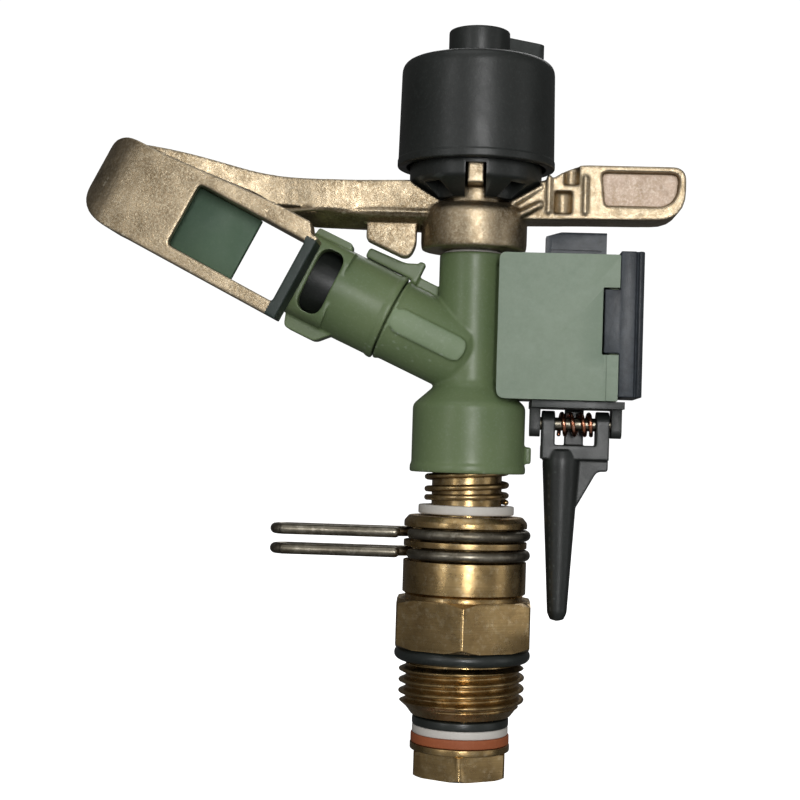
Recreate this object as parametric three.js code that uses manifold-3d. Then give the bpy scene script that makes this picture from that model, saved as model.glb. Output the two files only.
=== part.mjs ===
// Impact sprinkler: a plastic and brass part-circle irrigation sprinkler on a threaded brass inlet.
// Millimetres, +Z up. The origin is on the spin axis, in the plane of the underside of the inlet
// hexagon. The nozzle points towards -X, the reversing mechanism sits on the +X side.

import * as THREE from 'three';
import { mergeVertices } from 'three/addons/utils/BufferGeometryUtils.js';
import Module from 'manifold-3d';

const wasm = await Module();
wasm.setup();

// ---------------------------------------------------------------- driving dimensions

const turnGap = 0.3; // between pieces that turn on each other
const seatGap = 0.05; // between pieces that rest on each other
const roundSides = 32; // sides of the large turned pieces
const smallSides = 16; // sides of pins, tips and washers' bores

// Inlet nipple: a half inch pipe thread under a spanner hexagon and a turned sleeve.
const threadRadius = 10.48;
const threadPitch = 1.814;
const threadDepth = 1.16;
const threadLength = 7.4;
const threadLead = 1.2; // plain chamfered end below the thread
const leadRadius = 8.3;
const neckLength = 2.6; // plain neck between thread and hexagon, where the seal ring sits
const neckRadius = 9.1;
const sealRingWire = 2.2;
const hexFlats = 22;
const hexHeight = 8.1;
const sleeveRadius = 10.3;
const sleeveHeight = 13.7;
const sleeveChamfer = 0.9;

// Bearing stem: the tube that turns in the nipple and carries the body.
const stemRadius = 5.85;
const waterRadius = 4.1;
const stemFlangeRadius = stemRadius + 2.45;
const stemFlangeHeight = 0.9;
const stemHexFlats = 15;
const stemHexHeight = 4.4;
const stemGrip = 9.5; // how far the stem reaches into the body
const lowerWashers = [
  { name: 'washer_rubber', height: 1.5, radius: 8.05, colour: 0x2b2f2e, roughness: 0.75 },
  { name: 'washer_plastic', height: 1.45, radius: 8.0, colour: 0xd8d5ce, roughness: 0.5 },
  { name: 'washer_fibre', height: 1.6, radius: 8.2, colour: 0xb9764e, roughness: 0.7 },
];
const upperWasherHeight = 1.5;
const upperWasherRadius = stemRadius + 2.15;
const bearingSpringClear = 0.25; // between the stem and the spring around it
const bearingSpringWire = 1.0;
const bearingSpringTurns = 3;
const bearingSpringGap = 5.4; // between the upper washer and the body's skirt

// Trip collars: two sprung wire clips in grooves of the sleeve.
const collarWire = 1.8;
const collarPitch = 3.3;
const collarProud = 0.6; // how far the wire stands out of the sleeve
const collarTopDrop = 3.0; // from the sleeve's top face down to the upper wire
const collarReach = 32.8; // from the spin axis to the end of the hairpin
const collarLegSpread = 4.4; // between the centre lines of the two legs

// Body: skirt, shoulder, upright barrel and the inclined nozzle branch.
const skirtRadius = stemRadius + 3.6;
const skirtBead = 0.25;
const skirtHeight = 11.3;
const skirtRecessRadius = stemRadius + 1.75;
const skirtRecessDepth = 4.2;
const shoulderHeight = 3.4;
const barrelRadius = stemRadius - 0.2;
const branchRise = 19.2; // from the skirt's rim to where the nozzle axis meets the spin axis
const nozzleTilt = 25;
const branchRadius = 6.85;
const branchLength = 15.0;
const barrelClear = 15.66; // the barrel's height over what the branch rises
const barrelHeight = barrelClear + branchLength * Math.sin(THREE.MathUtils.degToRad(nozzleTilt));
const spigotRadius = 5.5;
const spigotLength = 7.0;
const plaqueLength = 12.6;
const plaqueWidth = 6.6;
const plaqueProud = 0.35;

// Nozzle and its bayonet nut.
const nutRadius = 7.35;
const nutSleeveLength = 10.0;
const nutHeadLength = 7.6;
const nutHeadHalf = 6.95; // half width of the squarer head
const nutWindowWidth = 4.2;
const nutWindowHeight = 11.6;
const nutWingHeight = 1.9;
const nozzleTipRadius = 3.6;
const nozzleJetRadius = 2.3;
const nozzleFlange = 1.6;
const sealHeight = 0.9;

// Anvil: the fixed catch that stops the arm's return stroke.
const anvilThickness = 3.0;
const anvilPost = 1.8;
const anvilReach = 10.5;
const anvilTop = 11.0; // above the nozzle axis
const ledgeClear = 0.35; // over the nut

// Hammer arm.
const armPinRadius = 2.4;
const armBushWall = 1.3;
const hubRadius = 8.9;
const hubHeight = 7.5;
const hubLift = 0.5; // between the barrel's top and the hub
const armNeckRadius = 5.6;
const armNeckHeight = 5.6;
const barTop = 11.6; // bar's top above the hub's underside
const barFace = 5.6; // height of the bar's upright face
const barKeel = 2.6; // height of the bevelled keel under it
const barFront = 4.5; // bar's front face, in front of the spin axis
const spoonTilt = 27;
const spoonStart = branchLength + nutSleeveLength + nutHeadLength - 2.4;
const spoonEnd = 69.0;
const spoonUpper = 4.6; // upper edge, across the spoon's own axis
const spoonShoulder = 6.3; // the upper edge where it runs into the bar
const spoonLower = -10.2;
const spoonFront = 15.0; // front face, in front of the spin axis
const spoonBack = 8.2; // how far in front of the axis the side flanges end
const spoonSkin = 1.5;
const spoonLip = 1.7;
const spoonSill = 2.3; // flange under the window
const spoonCurl = 9.5; // radius of the curled end
const spoonHook = 2.0; // the curled end's reach behind the spin axis
const windowLength = 19.3;
const insertLength = 10.8; // of the insert that shows in the window
const insertThickness = 1.4;
const strikerThickness = 3.2;
const strikerBack = 0.3; // its rear face, behind the spin axis
const tailReach = 34.8;
const tailThickness = 8.6;
const tailHeight = 8.9;
const tailPanelDepth = 1.2;
const gussetWidth = 1.2;
const gussetProud = 0.4;

// Return spring, its slotted seat, its cap and the tension adjuster.
const seatFootRadius = 6.75;
const seatRingRadius = 11.1;
const seatConeHeight = 2.9;
const seatRingHeight = 3.0;
const seatSlots = 8;
const seatSlotWidth = 3.4;
const seatClear = 0.4; // between the seat and the arm's limbs
const keyClear = 0.35; // beside the arm's key in the seat's slot
const capRadius = 13.25;
const capDraft = 0.4;
const capHeight = 18.0;
const capWall = 1.5;
const capEdge = 1.6;
const capClear = 0.9; // between the cap and the arm under it
const capLift = 2.6; // from the seat's ring base to the cap's rim
const armSpringRadius = 8.6;
const armSpringWire = 1.3;
const armSpringTurns = 6;
const adjusterRadius = 5.15;
const adjusterHeight = 5.4;
const adjusterLugReach = 12.4;
const adjusterLugWidth = 6.2;
const adjusterAngle = 35; // the lug's bearing from +X, towards +Y
const screwRadius = 1.0;

// Reversing mechanism: housing, cover plate, clip, levers.
const housingStart = barrelRadius + 0.45; // from the spin axis
const housingEnd = housingStart + 17.9;
const housingHeight = barrelHeight + 1.9;
const housingDrop = 0.35; // the housing's top under the barrel's top
const housingHalf = 6.6; // half its depth
const housingWall = 1.4;
const coverThickness = 1.5;
const coverStart = barrelRadius - 1.35;
const clipWidth = 3.9;
const clipTongue = 2.7;
const clipTongueHeight = 11.0;
const clipNotchDrop = 5.4; // from the cover's top to the tongue
const tabStart = housingStart + 6.0;
const tabEnd = tabStart + 10.1;
const tabThickness = 3.0;
const tabRise = 4.4; // above the housing
const tabPivotDrop = 12.6; // from the housing's top down to the reversing lever's pivot
const hangerThickness = 1.7;
const hangerPlate = 1.2;
const leverPivotDrop = 3.8; // from the housing's underside down to the trip lever's pivot
const pivotRadius = 1.1;
const yokeStart = skirtRadius + 2.75;
const yokeEnd = yokeStart + 11.2;
const yokeArm = 2.2;
const yokeHalf = 2.2; // half its depth
const webThickness = 1.1; // of the web behind the toggle spring
const yokeHeight = 5.9; // from the pivot down to the yoke's underside
const yokeBar = 2.4;
const coneCentre = yokeStart + 3.4;
const coneRootRadius = 3.1;
const coneTipRadius = 1.65;
const coneTipDrop = 32.9; // from the pivot to the tip
const tongueWidth = 3.2;
const tongueReach = 9.5; // above the pivot
const toggleRadius = 2.1;
const toggleWire = 0.7;
const toggleTurns = 4;

// ---------------------------------------------------------------- levels along the spin axis

const neckBottom = -neckLength;
const threadBottom = neckBottom - threadLength;
const nippleBottom = threadBottom - threadLead;
const sleeveTop = hexHeight + sleeveHeight;
const washerStack = lowerWashers.reduce((sum, washer) => sum + washer.height, 0);
const flangeTop = nippleBottom - washerStack - seatGap;
const stemHexTop = flangeTop - stemFlangeHeight;
const stemBottom = stemHexTop - stemHexHeight;
const upperWasherTop = sleeveTop + turnGap + upperWasherHeight;
const skirtBottom = upperWasherTop + bearingSpringGap;
const skirtTop = skirtBottom + skirtHeight;
const shoulderTop = skirtTop + shoulderHeight;
const barrelTop = shoulderTop + barrelHeight;
const branchLevel = skirtBottom + branchRise;
const hubBottom = barrelTop + hubLift;
const hubTop = hubBottom + hubHeight;
const barFaceTop = hubBottom + barTop;
const keelBottom = barFaceTop - barFace - barKeel;
const seatBottom = hubTop + 0.9;
const seatRingBottom = seatBottom + seatConeHeight;
const capBottom = seatRingBottom + capLift;
const capTop = capBottom + capHeight;
const adjusterTop = capTop + adjusterHeight;
const housingTop = barrelTop - housingDrop;
const housingBottom = housingTop - housingHeight;
const leverPivot = housingBottom - leverPivotDrop;
const tabPivot = housingTop - tabPivotDrop;

// ---------------------------------------------------------------- solids

// A closed geometry as a Manifold, with its shared vertices merged and its slivers dropped.
function solid(geometry) {
  geometry.deleteAttribute('normal');
  geometry.deleteAttribute('uv');
  const merged = mergeVertices(geometry, 1e-4);
  const index = merged.index.array;
  const triangles = [];
  for (let i = 0; i < index.length; i += 3) {
    const [a, b, c] = [index[i], index[i + 1], index[i + 2]];
    if (a !== b && b !== c && c !== a) triangles.push(a, b, c);
  }
  return new wasm.Manifold(new wasm.Mesh({
    numProp: 3,
    vertProperties: new Float32Array(merged.attributes.position.array),
    triVerts: Uint32Array.from(triangles),
  }));
}

function geometryOf(shape) {
  const mesh = shape.getMesh();
  const geometry = new THREE.BufferGeometry();
  const stride = mesh.numProp;
  const positions = new Float32Array((mesh.vertProperties.length / stride) * 3);
  for (let i = 0; i < positions.length / 3; i += 1) {
    for (let k = 0; k < 3; k += 1) positions[i * 3 + k] = mesh.vertProperties[i * stride + k];
  }
  geometry.setAttribute('position', new THREE.BufferAttribute(positions, 3));
  geometry.setIndex(new THREE.BufferAttribute(new Uint32Array(mesh.triVerts), 1));
  return geometry;
}

function moved(shape, matrix) {
  return solid(geometryOf(shape).applyMatrix4(matrix));
}

function joined(...shapes) {
  return shapes.reduce((sum, shape) => sum.add(shape));
}

function cut(shape, ...tools) {
  return tools.reduce((rest, tool) => rest.subtract(tool), shape);
}

// Turned solid about Z. The profile runs up the outside, as [radius, height] pairs.
function turned(profile, sides = roundSides) {
  const points = profile.map(([radius, height]) => new THREE.Vector2(radius, height));
  return solid(new THREE.LatheGeometry(points, sides).rotateX(Math.PI / 2));
}

function rod(radius, bottom, top, sides = roundSides) {
  return turned([[0, bottom], [radius, bottom], [radius, top], [0, top]], sides);
}

function tube(outer, inner, bottom, top, sides = roundSides) {
  return turned([[inner, bottom], [outer, bottom], [outer, top], [inner, top], [inner, bottom]], sides);
}

function block(x0, x1, y0, y1, z0, z1) {
  const geometry = new THREE.BoxGeometry(x1 - x0, y1 - y0, z1 - z0);
  return solid(geometry.translate((x0 + x1) / 2, (y0 + y1) / 2, (z0 + z1) / 2));
}

// Outline through [x, y, cornerRadius] points; a corner without a radius stays sharp.
function outline(points) {
  const shape = new THREE.Shape();
  points.forEach(([x, y, radius = 0], i) => {
    const corner = new THREE.Vector2(x, y);
    const before = new THREE.Vector2(...points[(i + points.length - 1) % points.length]);
    const after = new THREE.Vector2(...points[(i + 1) % points.length]);
    const enter = before.sub(corner).setLength(radius).add(corner);
    const leave = after.sub(corner).setLength(radius).add(corner);
    if (i === 0) shape.moveTo(enter.x, enter.y);
    else shape.lineTo(enter.x, enter.y);
    if (radius > 0) shape.quadraticCurveTo(x, y, leave.x, leave.y);
  });
  shape.closePath();
  return shape;
}

function extruded(shape, depth, curveSegments) {
  return new THREE.ExtrudeGeometry(shape, { depth, bevelEnabled: false, curveSegments });
}

// Outline in X and Z, thick along Y.
function slabY(points, y0, y1, curveSegments = 5) {
  const geometry = extruded(outline(points), y1 - y0, curveSegments);
  return solid(geometry.rotateX(Math.PI / 2).translate(0, y1, 0));
}

// Outline in X and Y, thick along Z.
function slabZ(points, z0, z1, curveSegments = 5) {
  return solid(extruded(outline(points), z1 - z0, curveSegments).translate(0, 0, z0));
}

// Outline in Y and Z, thick along X.
function slabX(points, x0, x1, curveSegments = 5) {
  const axes = new THREE.Matrix4().set(0, 0, 1, x0, 1, 0, 0, 0, 0, 1, 0, 0, 0, 0, 0, 1);
  return solid(extruded(outline(points), x1 - x0, curveSegments).applyMatrix4(axes));
}

// Rod along X.
function rodX(radius, x0, x1, y, z, sides = smallSides) {
  const turn = new THREE.Matrix4().makeRotationY(Math.PI / 2);
  return moved(rod(radius, x0, x1, sides), turn.setPosition(0, y, z));
}

// Hexagonal bar with bevelled corners; two of its corners point along Y.
function hexBar(flats, bottom, top, bevel) {
  const corner = flats / Math.sqrt(3);
  const points = [];
  for (let i = 0; i < 6; i += 1) {
    const angle = (i + 0.5) * (Math.PI / 3);
    points.push([corner * Math.cos(angle), corner * Math.sin(angle)]);
  }
  const rim = corner - bevel;
  const drop = bevel * 0.6;
  const envelope = turned([
    [0, bottom], [rim, bottom], [corner + 0.1, bottom + drop],
    [corner + 0.1, top - drop], [rim, top], [0, top],
  ]);
  return slabZ(points, bottom, top).intersect(envelope);
}

// Right-hand screw thread about Z, longer than needed at both ends: its blank trims it.
function screwThread(major, depth, pitch, bottom, top, sides) {
  const steps = [[0, major - depth], [0.12, major - depth], [0.44, major], [0.68, major]];
  const turns = Math.ceil((top - bottom) / pitch) + 2;
  const rows = turns * steps.length;
  const positions = [];
  for (let i = 0; i < sides; i += 1) {
    const share = i / sides;
    for (let j = 0; j <= rows; j += 1) {
      const [lift, radius] = steps[j % steps.length];
      const height = bottom - 2 * pitch + pitch * (Math.floor(j / steps.length) + lift + share);
      positions.push(radius * Math.cos(2 * Math.PI * share), radius * Math.sin(2 * Math.PI * share), height);
    }
  }
  const at = (i, j) => (i === sides ? j + steps.length : i * (rows + 1) + j);
  const low = sides * (rows + 1);
  positions.push(0, 0, bottom - pitch, 0, 0, bottom + (turns - 1) * pitch);
  const index = [];
  for (let i = 0; i < sides; i += 1) {
    const last = i === sides - 1 ? rows - steps.length : rows;
    for (let j = 0; j < last; j += 1) {
      index.push(at(i, j), at(i + 1, j), at(i + 1, j + 1), at(i, j), at(i + 1, j + 1), at(i, j + 1));
    }
    index.push(low, at(i + 1, 0), at(i, 0));
    index.push(low + 1, at(i, last), at(i + 1, last));
  }
  for (let j = 0; j < steps.length; j += 1) {
    index.push(low, at(0, j), at(0, j + 1));
    index.push(low + 1, at(sides - 1, rows - j), at(sides - 1, rows - j - 1));
  }
  const geometry = new THREE.BufferGeometry();
  geometry.setAttribute('position', new THREE.Float32BufferAttribute(positions, 3));
  geometry.setIndex(index);
  return solid(geometry);
}

class Helix extends THREE.Curve {
  constructor(radius, bottom, top, turns) {
    super();
    Object.assign(this, { radius, bottom, top, turns });
  }

  getPoint(t, target = new THREE.Vector3()) {
    const angle = 2 * Math.PI * this.turns * t;
    const height = this.bottom + (this.top - this.bottom) * t;
    return target.set(this.radius * Math.cos(angle), this.radius * Math.sin(angle), height);
  }
}

// Round wire along a curve.
function wire(curve, diameter, steps, sides = 8) {
  const section = new THREE.Shape();
  for (let i = 0; i < sides; i += 1) {
    const angle = (i / sides) * 2 * Math.PI;
    const point = [(diameter / 2) * Math.cos(angle), (diameter / 2) * Math.sin(angle)];
    if (i === 0) section.moveTo(...point);
    else section.lineTo(...point);
  }
  section.closePath();
  return solid(new THREE.ExtrudeGeometry(section, { steps, extrudePath: curve, curveSegments: 1 }));
}

function coil(outer, diameter, bottom, top, turns, stepsPerTurn, sides = 6) {
  const helix = new Helix(outer - diameter / 2, bottom + diameter / 2, top - diameter / 2, turns);
  return wire(helix, diameter, Math.round(turns * stepsPerTurn), sides);
}

// Frame whose Z runs out along an inclined axis towards -X, with its X across it, upwards.
function inclined(tilt) {
  const turn = new THREE.Matrix4().makeRotationY(THREE.MathUtils.degToRad(tilt - 90));
  return turn.setPosition(0, 0, branchLevel);
}

// ---------------------------------------------------------------- materials

function material(color, roughness, metalness = 0) {
  return new THREE.MeshStandardMaterial({ color, roughness, metalness });
}

const brass = material(0x9a8a66, 0.42, 0.9);
const turnedBrass = material(0x8a744f, 0.32, 0.95);
const steel = material(0x6e6a5f, 0.45, 0.85);
const copper = material(0xa06a4c, 0.35, 0.9);
const green = material(0x687853, 0.55);
const coverGreen = material(0x8c9c8f, 0.55);
const insertGreen = material(0x4e6650, 0.6);
const black = material(0x2d3230, 0.5);
const rubber = material(0x1d2120, 0.6);
const white = material(0xdedbd4, 0.5);

const sprinkler = new THREE.Group();

function add(name, shape, finish) {
  const mesh = new THREE.Mesh(geometryOf(shape), finish);
  mesh.name = name;
  sprinkler.add(mesh);
}

// ---------------------------------------------------------------- inlet and bearing

const collarRingRadius = sleeveRadius + collarProud - collarWire / 2;
const upperCollarLevel = sleeveTop - collarTopDrop;
const lowerCollarLevel = upperCollarLevel - collarPitch;

function inletNipple() {
  const blank = turned([
    [0, nippleBottom], [leadRadius, nippleBottom], [threadRadius - threadDepth, threadBottom],
    [threadRadius, threadBottom + threadDepth], [threadRadius, neckBottom - threadDepth * 0.6],
    [threadRadius - threadDepth, neckBottom], [0, neckBottom],
  ]);
  const thread = screwThread(threadRadius, threadDepth, threadPitch, nippleBottom, neckBottom, roundSides);
  const neck = rod(neckRadius, neckBottom - threadDepth, 0.5);
  const sleeve = turned([
    [0, hexHeight - 0.5], [sleeveRadius, hexHeight - 0.5], [sleeveRadius, sleeveTop - sleeveChamfer],
    [sleeveRadius - sleeveChamfer, sleeveTop], [0, sleeveTop],
  ]);
  const bore = rod(stemRadius + turnGap, nippleBottom - 1, sleeveTop + 1);
  const whole = joined(thread.intersect(blank), neck, hexBar(hexFlats, 0, hexHeight, 1.3), sleeve);
  const grooves = [upperCollarLevel, lowerCollarLevel].map((level) => {
    const half = collarWire / 2 + turnGap;
    return tube(sleeveRadius + 1, collarRingRadius - half, level - half, level + half);
  });
  return cut(whole, bore, ...grooves);
}

function inletSealRing() {
  const radius = sealRingWire / 2;
  const centre = neckRadius + seatGap + radius;
  const level = -radius - seatGap;
  const profile = [];
  for (let i = 0; i <= 8; i += 1) {
    const angle = (i / 8) * 2 * Math.PI;
    profile.push([centre + radius * Math.cos(angle), level + radius * Math.sin(angle)]);
  }
  profile[8] = profile[0];
  return turned(profile);
}

// A sprung clip: a ring in the sleeve's groove and a hairpin of two legs out to one side.
function tripCollar(level) {
  const halfSpread = collarLegSpread / 2;
  const bend = collarReach - collarWire / 2 - halfSpread;
  const mouth = Math.asin(halfSpread / collarRingRadius);
  const kink = collarRingRadius + 2.4;
  const route = [[-kink, -halfSpread], [-(kink + bend) / 2, -halfSpread]];
  for (let i = 0; i <= 6; i += 1) {
    const angle = -Math.PI / 2 - (i / 6) * Math.PI;
    route.push([-bend + halfSpread * Math.cos(angle), halfSpread * Math.sin(angle)]);
  }
  route.push([-(kink + bend) / 2, halfSpread], [-kink, halfSpread]);
  const arc = 2 * Math.PI - 2 * mouth;
  for (let i = 1; i < 20; i += 1) {
    const angle = Math.PI - mouth - (i / 20) * arc;
    route.push([collarRingRadius * Math.cos(angle), collarRingRadius * Math.sin(angle)]);
  }
  route.push([-kink + collarWire * 0.4, -halfSpread]);
  const points = route.map(([x, y]) => new THREE.Vector3(x, y, level));
  return wire(new THREE.CatmullRomCurve3(points, false, 'centripetal'), collarWire, 64, 6);
}

function bearingStem() {
  const hex = hexBar(stemHexFlats, stemBottom, stemHexTop, 0.8);
  const flange = turned([
    [0, stemHexTop - 0.3], [stemFlangeRadius - 0.4, stemHexTop - 0.3], [stemFlangeRadius, stemHexTop + 0.3],
    [stemFlangeRadius, flangeTop], [0, flangeTop],
  ]);
  const shank = rod(stemRadius, flangeTop - 0.3, skirtBottom + skirtRecessDepth + stemGrip);
  const bore = rod(waterRadius, stemBottom - 1, barrelTop);
  return cut(joined(hex, flange, shank), bore);
}

function addBearing() {
  add('inlet_nipple', inletNipple(), turnedBrass);
  add('inlet_seal_ring', inletSealRing(), rubber);
  add('trip_collar_upper', tripCollar(upperCollarLevel), steel);
  add('trip_collar_lower', tripCollar(lowerCollarLevel), steel);
  add('bearing_stem', bearingStem(), turnedBrass);
  const bore = stemRadius + seatGap;
  let top = nippleBottom - turnGap;
  lowerWashers.forEach(({ name, height, radius, colour, roughness }) => {
    const thickness = height - turnGap / lowerWashers.length;
    add(name, tube(radius, bore, top - thickness, top), material(colour, roughness));
    top -= thickness;
  });
  add('washer_upper', tube(upperWasherRadius, bore, sleeveTop + turnGap, upperWasherTop), white);
  const springTop = skirtBottom + skirtRecessDepth - seatGap;
  const turns = bearingSpringTurns * (springTop - upperWasherTop) / bearingSpringGap;
  const low = upperWasherTop + seatGap;
  const springRadius = stemRadius + bearingSpringClear + bearingSpringWire;
  add('bearing_spring', coil(springRadius, bearingSpringWire, low, springTop, turns, 16), brass);
}

// ---------------------------------------------------------------- body and nozzle

const nutStart = branchLength + 0.2;
const nutHeadStart = nutStart + nutSleeveLength;
const nutEnd = nutHeadStart + nutHeadLength;
const nutBore = spigotRadius + turnGap;
const nozzleSeat = branchLength + spigotLength;

// Post on the branch with a ledge over the nut, just behind the arm's striker.
function anvil() {
  const near = strikerBack + turnGap;
  const far = near + anvilThickness;
  const start = branchLength - anvilPost;
  const ledge = block(nutRadius + ledgeClear, anvilTop, near, far, start, start + anvilReach);
  const post = block(branchRadius - 1.2, anvilTop, near, far, start, branchLength);
  return joined(ledge, post);
}

function sprinklerBody() {
  const frame = inclined(nozzleTilt);
  const upright = turned([
    [0, skirtBottom], [skirtRadius + skirtBead, skirtBottom], [skirtRadius + skirtBead, skirtBottom + 1.1],
    [skirtRadius, skirtBottom + 1.5], [skirtRadius, skirtTop], [barrelRadius, shoulderTop],
    [barrelRadius, barrelTop - 0.5], [barrelRadius - 0.5, barrelTop], [0, barrelTop],
  ]);
  const branch = joined(
    rod(branchRadius, 0, branchLength),
    rod(spigotRadius, branchLength - 0.5, nozzleSeat),
    anvil(),
  );
  const plaqueEnd = branchLength - 0.8;
  const plaqueStart = plaqueEnd - plaqueLength;
  const plaqueHalf = plaqueWidth / 2;
  const plaque = slabY([
    [-plaqueHalf, plaqueStart, 1.6], [plaqueHalf, plaqueStart, 1.6],
    [plaqueHalf, plaqueEnd, 1.6], [-plaqueHalf, plaqueEnd, 1.6],
  ], -branchRadius - plaqueProud, 0);
  const pad = block(0, housingStart - seatGap, -barrelRadius * 0.7, barrelRadius * 0.7,
    housingBottom + 2, housingTop - 2);
  const nub = block(0, skirtRadius + 1.1, -1.2, 1.2, skirtBottom + 1.8, skirtBottom + 4.6);
  const recess = rod(skirtRecessRadius, skirtBottom - 1, skirtBottom + skirtRecessDepth);
  const socket = rod(stemRadius + seatGap, skirtBottom, skirtBottom + skirtRecessDepth + stemGrip + seatGap);
  const riser = rod(waterRadius, skirtBottom, branchLevel + waterRadius * 0.6);
  const water = moved(rod(waterRadius, 0, nozzleSeat + 1), frame);
  const pinHole = rod(armPinRadius + seatGap, barrelTop - 11, barrelTop + 1, smallSides);
  const plate = plaque.intersect(tube(branchRadius + plaqueProud, branchRadius - 1, 0, branchLength));
  const whole = joined(upright, moved(joined(branch, plate), frame), pad, nub);
  return cut(whole, recess, socket, riser, water, pinHole);
}

function nozzleNut() {
  const sleeve = rod(nutRadius, nutStart, nutHeadStart);
  const h = nutHeadHalf;
  const head = slabZ([[-h, -h, 3.4], [h, -h, 3.4], [h, h, 3.4], [-h, h, 3.4]], nutHeadStart - 0.5, nutEnd);
  const wingTop = nutHeadStart - 3;
  const lowerWing = slabY([
    [-h, wingTop], [-h, nutEnd - 1.5], [-nutRadius - nutWingHeight, nutEnd - 2.4, 0.8],
    [-nutRadius - nutWingHeight, wingTop + 2.5, 0.8],
  ], -2.4, 2.4);
  const upperWing = slabY([
    [h - 1, nutHeadStart], [nutRadius + 0.9, nutHeadStart + 1],
    [nutRadius + 0.9, nutEnd - 0.4], [h - 1, nutEnd],
  ], -2.4, 2.4);
  const bore = rod(nutBore, nutStart - 1, nutHeadStart + nutWindowWidth + 0.8);
  const mouth = rod(nozzleTipRadius + turnGap, nutStart, nutEnd + 1, smallSides);
  const middle = nutHeadStart + 0.4 + nutWindowWidth / 2;
  const half = nutWindowWidth / 2;
  const tall = nutWindowHeight / 2;
  const window = slabY([
    [-tall, middle - half, half * 0.95], [tall, middle - half, half * 0.95],
    [tall, middle + half, half * 0.95], [-tall, middle + half, half * 0.95],
  ], -nutRadius - 1, nutRadius + 1);
  return cut(joined(sleeve, head, lowerWing, upperWing), bore, mouth, window);
}

function nozzle() {
  const back = nozzleSeat + sealHeight + seatGap;
  const wide = nutBore - turnGap;
  const shoulder = nutHeadStart + nutWindowWidth + 0.8 - seatGap;
  return turned([
    [waterRadius, back], [wide, back], [wide, back + nozzleFlange], [wide - 0.6, back + nozzleFlange],
    [wide - 0.6, shoulder], [nozzleTipRadius, shoulder], [nozzleTipRadius, nutEnd - 0.6],
    [nozzleTipRadius - 0.5, nutEnd - 0.1], [nozzleJetRadius, nutEnd - 0.1], [waterRadius, back],
  ]);
}

function addBody() {
  add('sprinkler_body', sprinklerBody(), green);
  const frame = inclined(nozzleTilt);
  add('nozzle_nut', moved(nozzleNut(), frame), green);
  add('nozzle', moved(nozzle(), frame), black);
  const seal = tube(spigotRadius, waterRadius + seatGap, nozzleSeat + seatGap, nozzleSeat + sealHeight);
  add('nozzle_seal', moved(seal, frame), rubber);
}

// ---------------------------------------------------------------- hammer arm

const armBore = armPinRadius + turnGap + armBushWall + seatGap;

// The bar between hub and spoon: front outline, plan outline and cross-section meet in one solid.
function armBar() {
  const underFace = barFaceTop - barFace;
  const reach = spoonEnd * Math.cos(THREE.MathUtils.degToRad(spoonTilt));
  const front = slabY([
    [0, barFaceTop], [0, keelBottom], [-spoonStart + 2, keelBottom, 3],
    [-spoonStart - 10, branchLevel + 24.6],
    [-reach + 6, branchLevel + 30], [-reach + 4.5, branchLevel + 33.2, 1.2],
    [-reach + 12, branchLevel + 32.4, 6],
    [-spoonStart - 3.5, barFaceTop - 1.0, 5],
  ], -20, 20);
  const plan = slabZ([
    [2, -barFront], [2, barFront], [-12, barFront - 2, 4], [-spoonStart - 6, -1.5, 8], [-reach + 2, -4],
    [-reach + 2, -spoonFront + 3], [-spoonStart - 6, -barFront - 5, 8], [-spoonStart + 8, -barFront, 8],
  ], keelBottom - 5, barFaceTop + 12);
  const keel = slabX([
    [-spoonFront, underFace], [-barFront, underFace], [-barFront - 0.4, underFace - 0.5],
    [-barFront + 0.4, underFace - 1.1], [-1, keelBottom], [barFront, keelBottom],
    [barFront, barFaceTop + 12], [-spoonFront, barFaceTop + 12],
  ], -reach, 5);
  return front.intersect(plan).intersect(keel);
}

function striker() {
  const root = keelBottom + 0.6;
  return slabY([
    [-18.0, root], [-18.0, keelBottom - 2.1], [-11.0, keelBottom - 5.3, 0.8],
    [-9.6, keelBottom - 3, 0.8], [-9.6, root],
  ], strikerBack - strikerThickness, strikerBack);
}

// Outline in Y and Z of the spoon's front skin, from its near end round the curled end.
function scoopOutline(skin, start) {
  const radius = spoonCurl - skin;
  const points = [[-spoonFront + skin, start]];
  for (let i = 0; i <= 6; i += 1) {
    const angle = (i / 6) * (Math.PI / 2);
    points.push([
      spoonCurl - spoonFront - radius * Math.cos(angle),
      spoonEnd - spoonCurl + radius * Math.sin(angle),
    ]);
  }
  return points;
}

// The hollow behind the spoon's skin, where the jet runs, with the window in front of it.
function spoonHollow() {
  const start = spoonStart + spoonLip;
  const lower = spoonLower + spoonSill;
  const upper = spoonUpper - spoonSkin;
  const hollow = slabX([
    ...scoopOutline(spoonSkin, start), [spoonHook + 1, spoonEnd - spoonSkin], [spoonHook + 1, start],
  ], lower, upper);
  const opening = slabY([
    [lower, start], [upper, start], [upper, start + windowLength, 0.8], [lower, start + windowLength, 0.8],
  ], -spoonFront - 1, -spoonFront + spoonSkin + 1);
  const within = slabY([
    [lower, start], [upper, start], [upper, spoonEnd - spoonSkin, 3.5], [lower, spoonEnd - spoonSkin, 6],
  ], -spoonFront - 2, spoonHook + 2, 8);
  return joined(hollow, opening).intersect(within);
}

// Scoop-shaped spoon, open at the back, in its own inclined frame.
function spoon() {
  const outer = slabX([
    ...scoopOutline(0, spoonStart), [spoonHook, spoonEnd], [spoonHook, spoonEnd - 5],
    [-spoonBack, spoonEnd - spoonCurl - 1], [-spoonBack, spoonStart],
  ], spoonLower, spoonUpper);
  const face = slabY([
    [spoonLower, spoonStart - 1], [spoonUpper, spoonStart - 1], [spoonUpper, spoonEnd + 0.3, 5],
    [spoonLower, spoonEnd + 0.3, 8],
  ], -spoonFront - 1, spoonHook + 1, 8);
  return outer.intersect(face);
}

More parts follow.
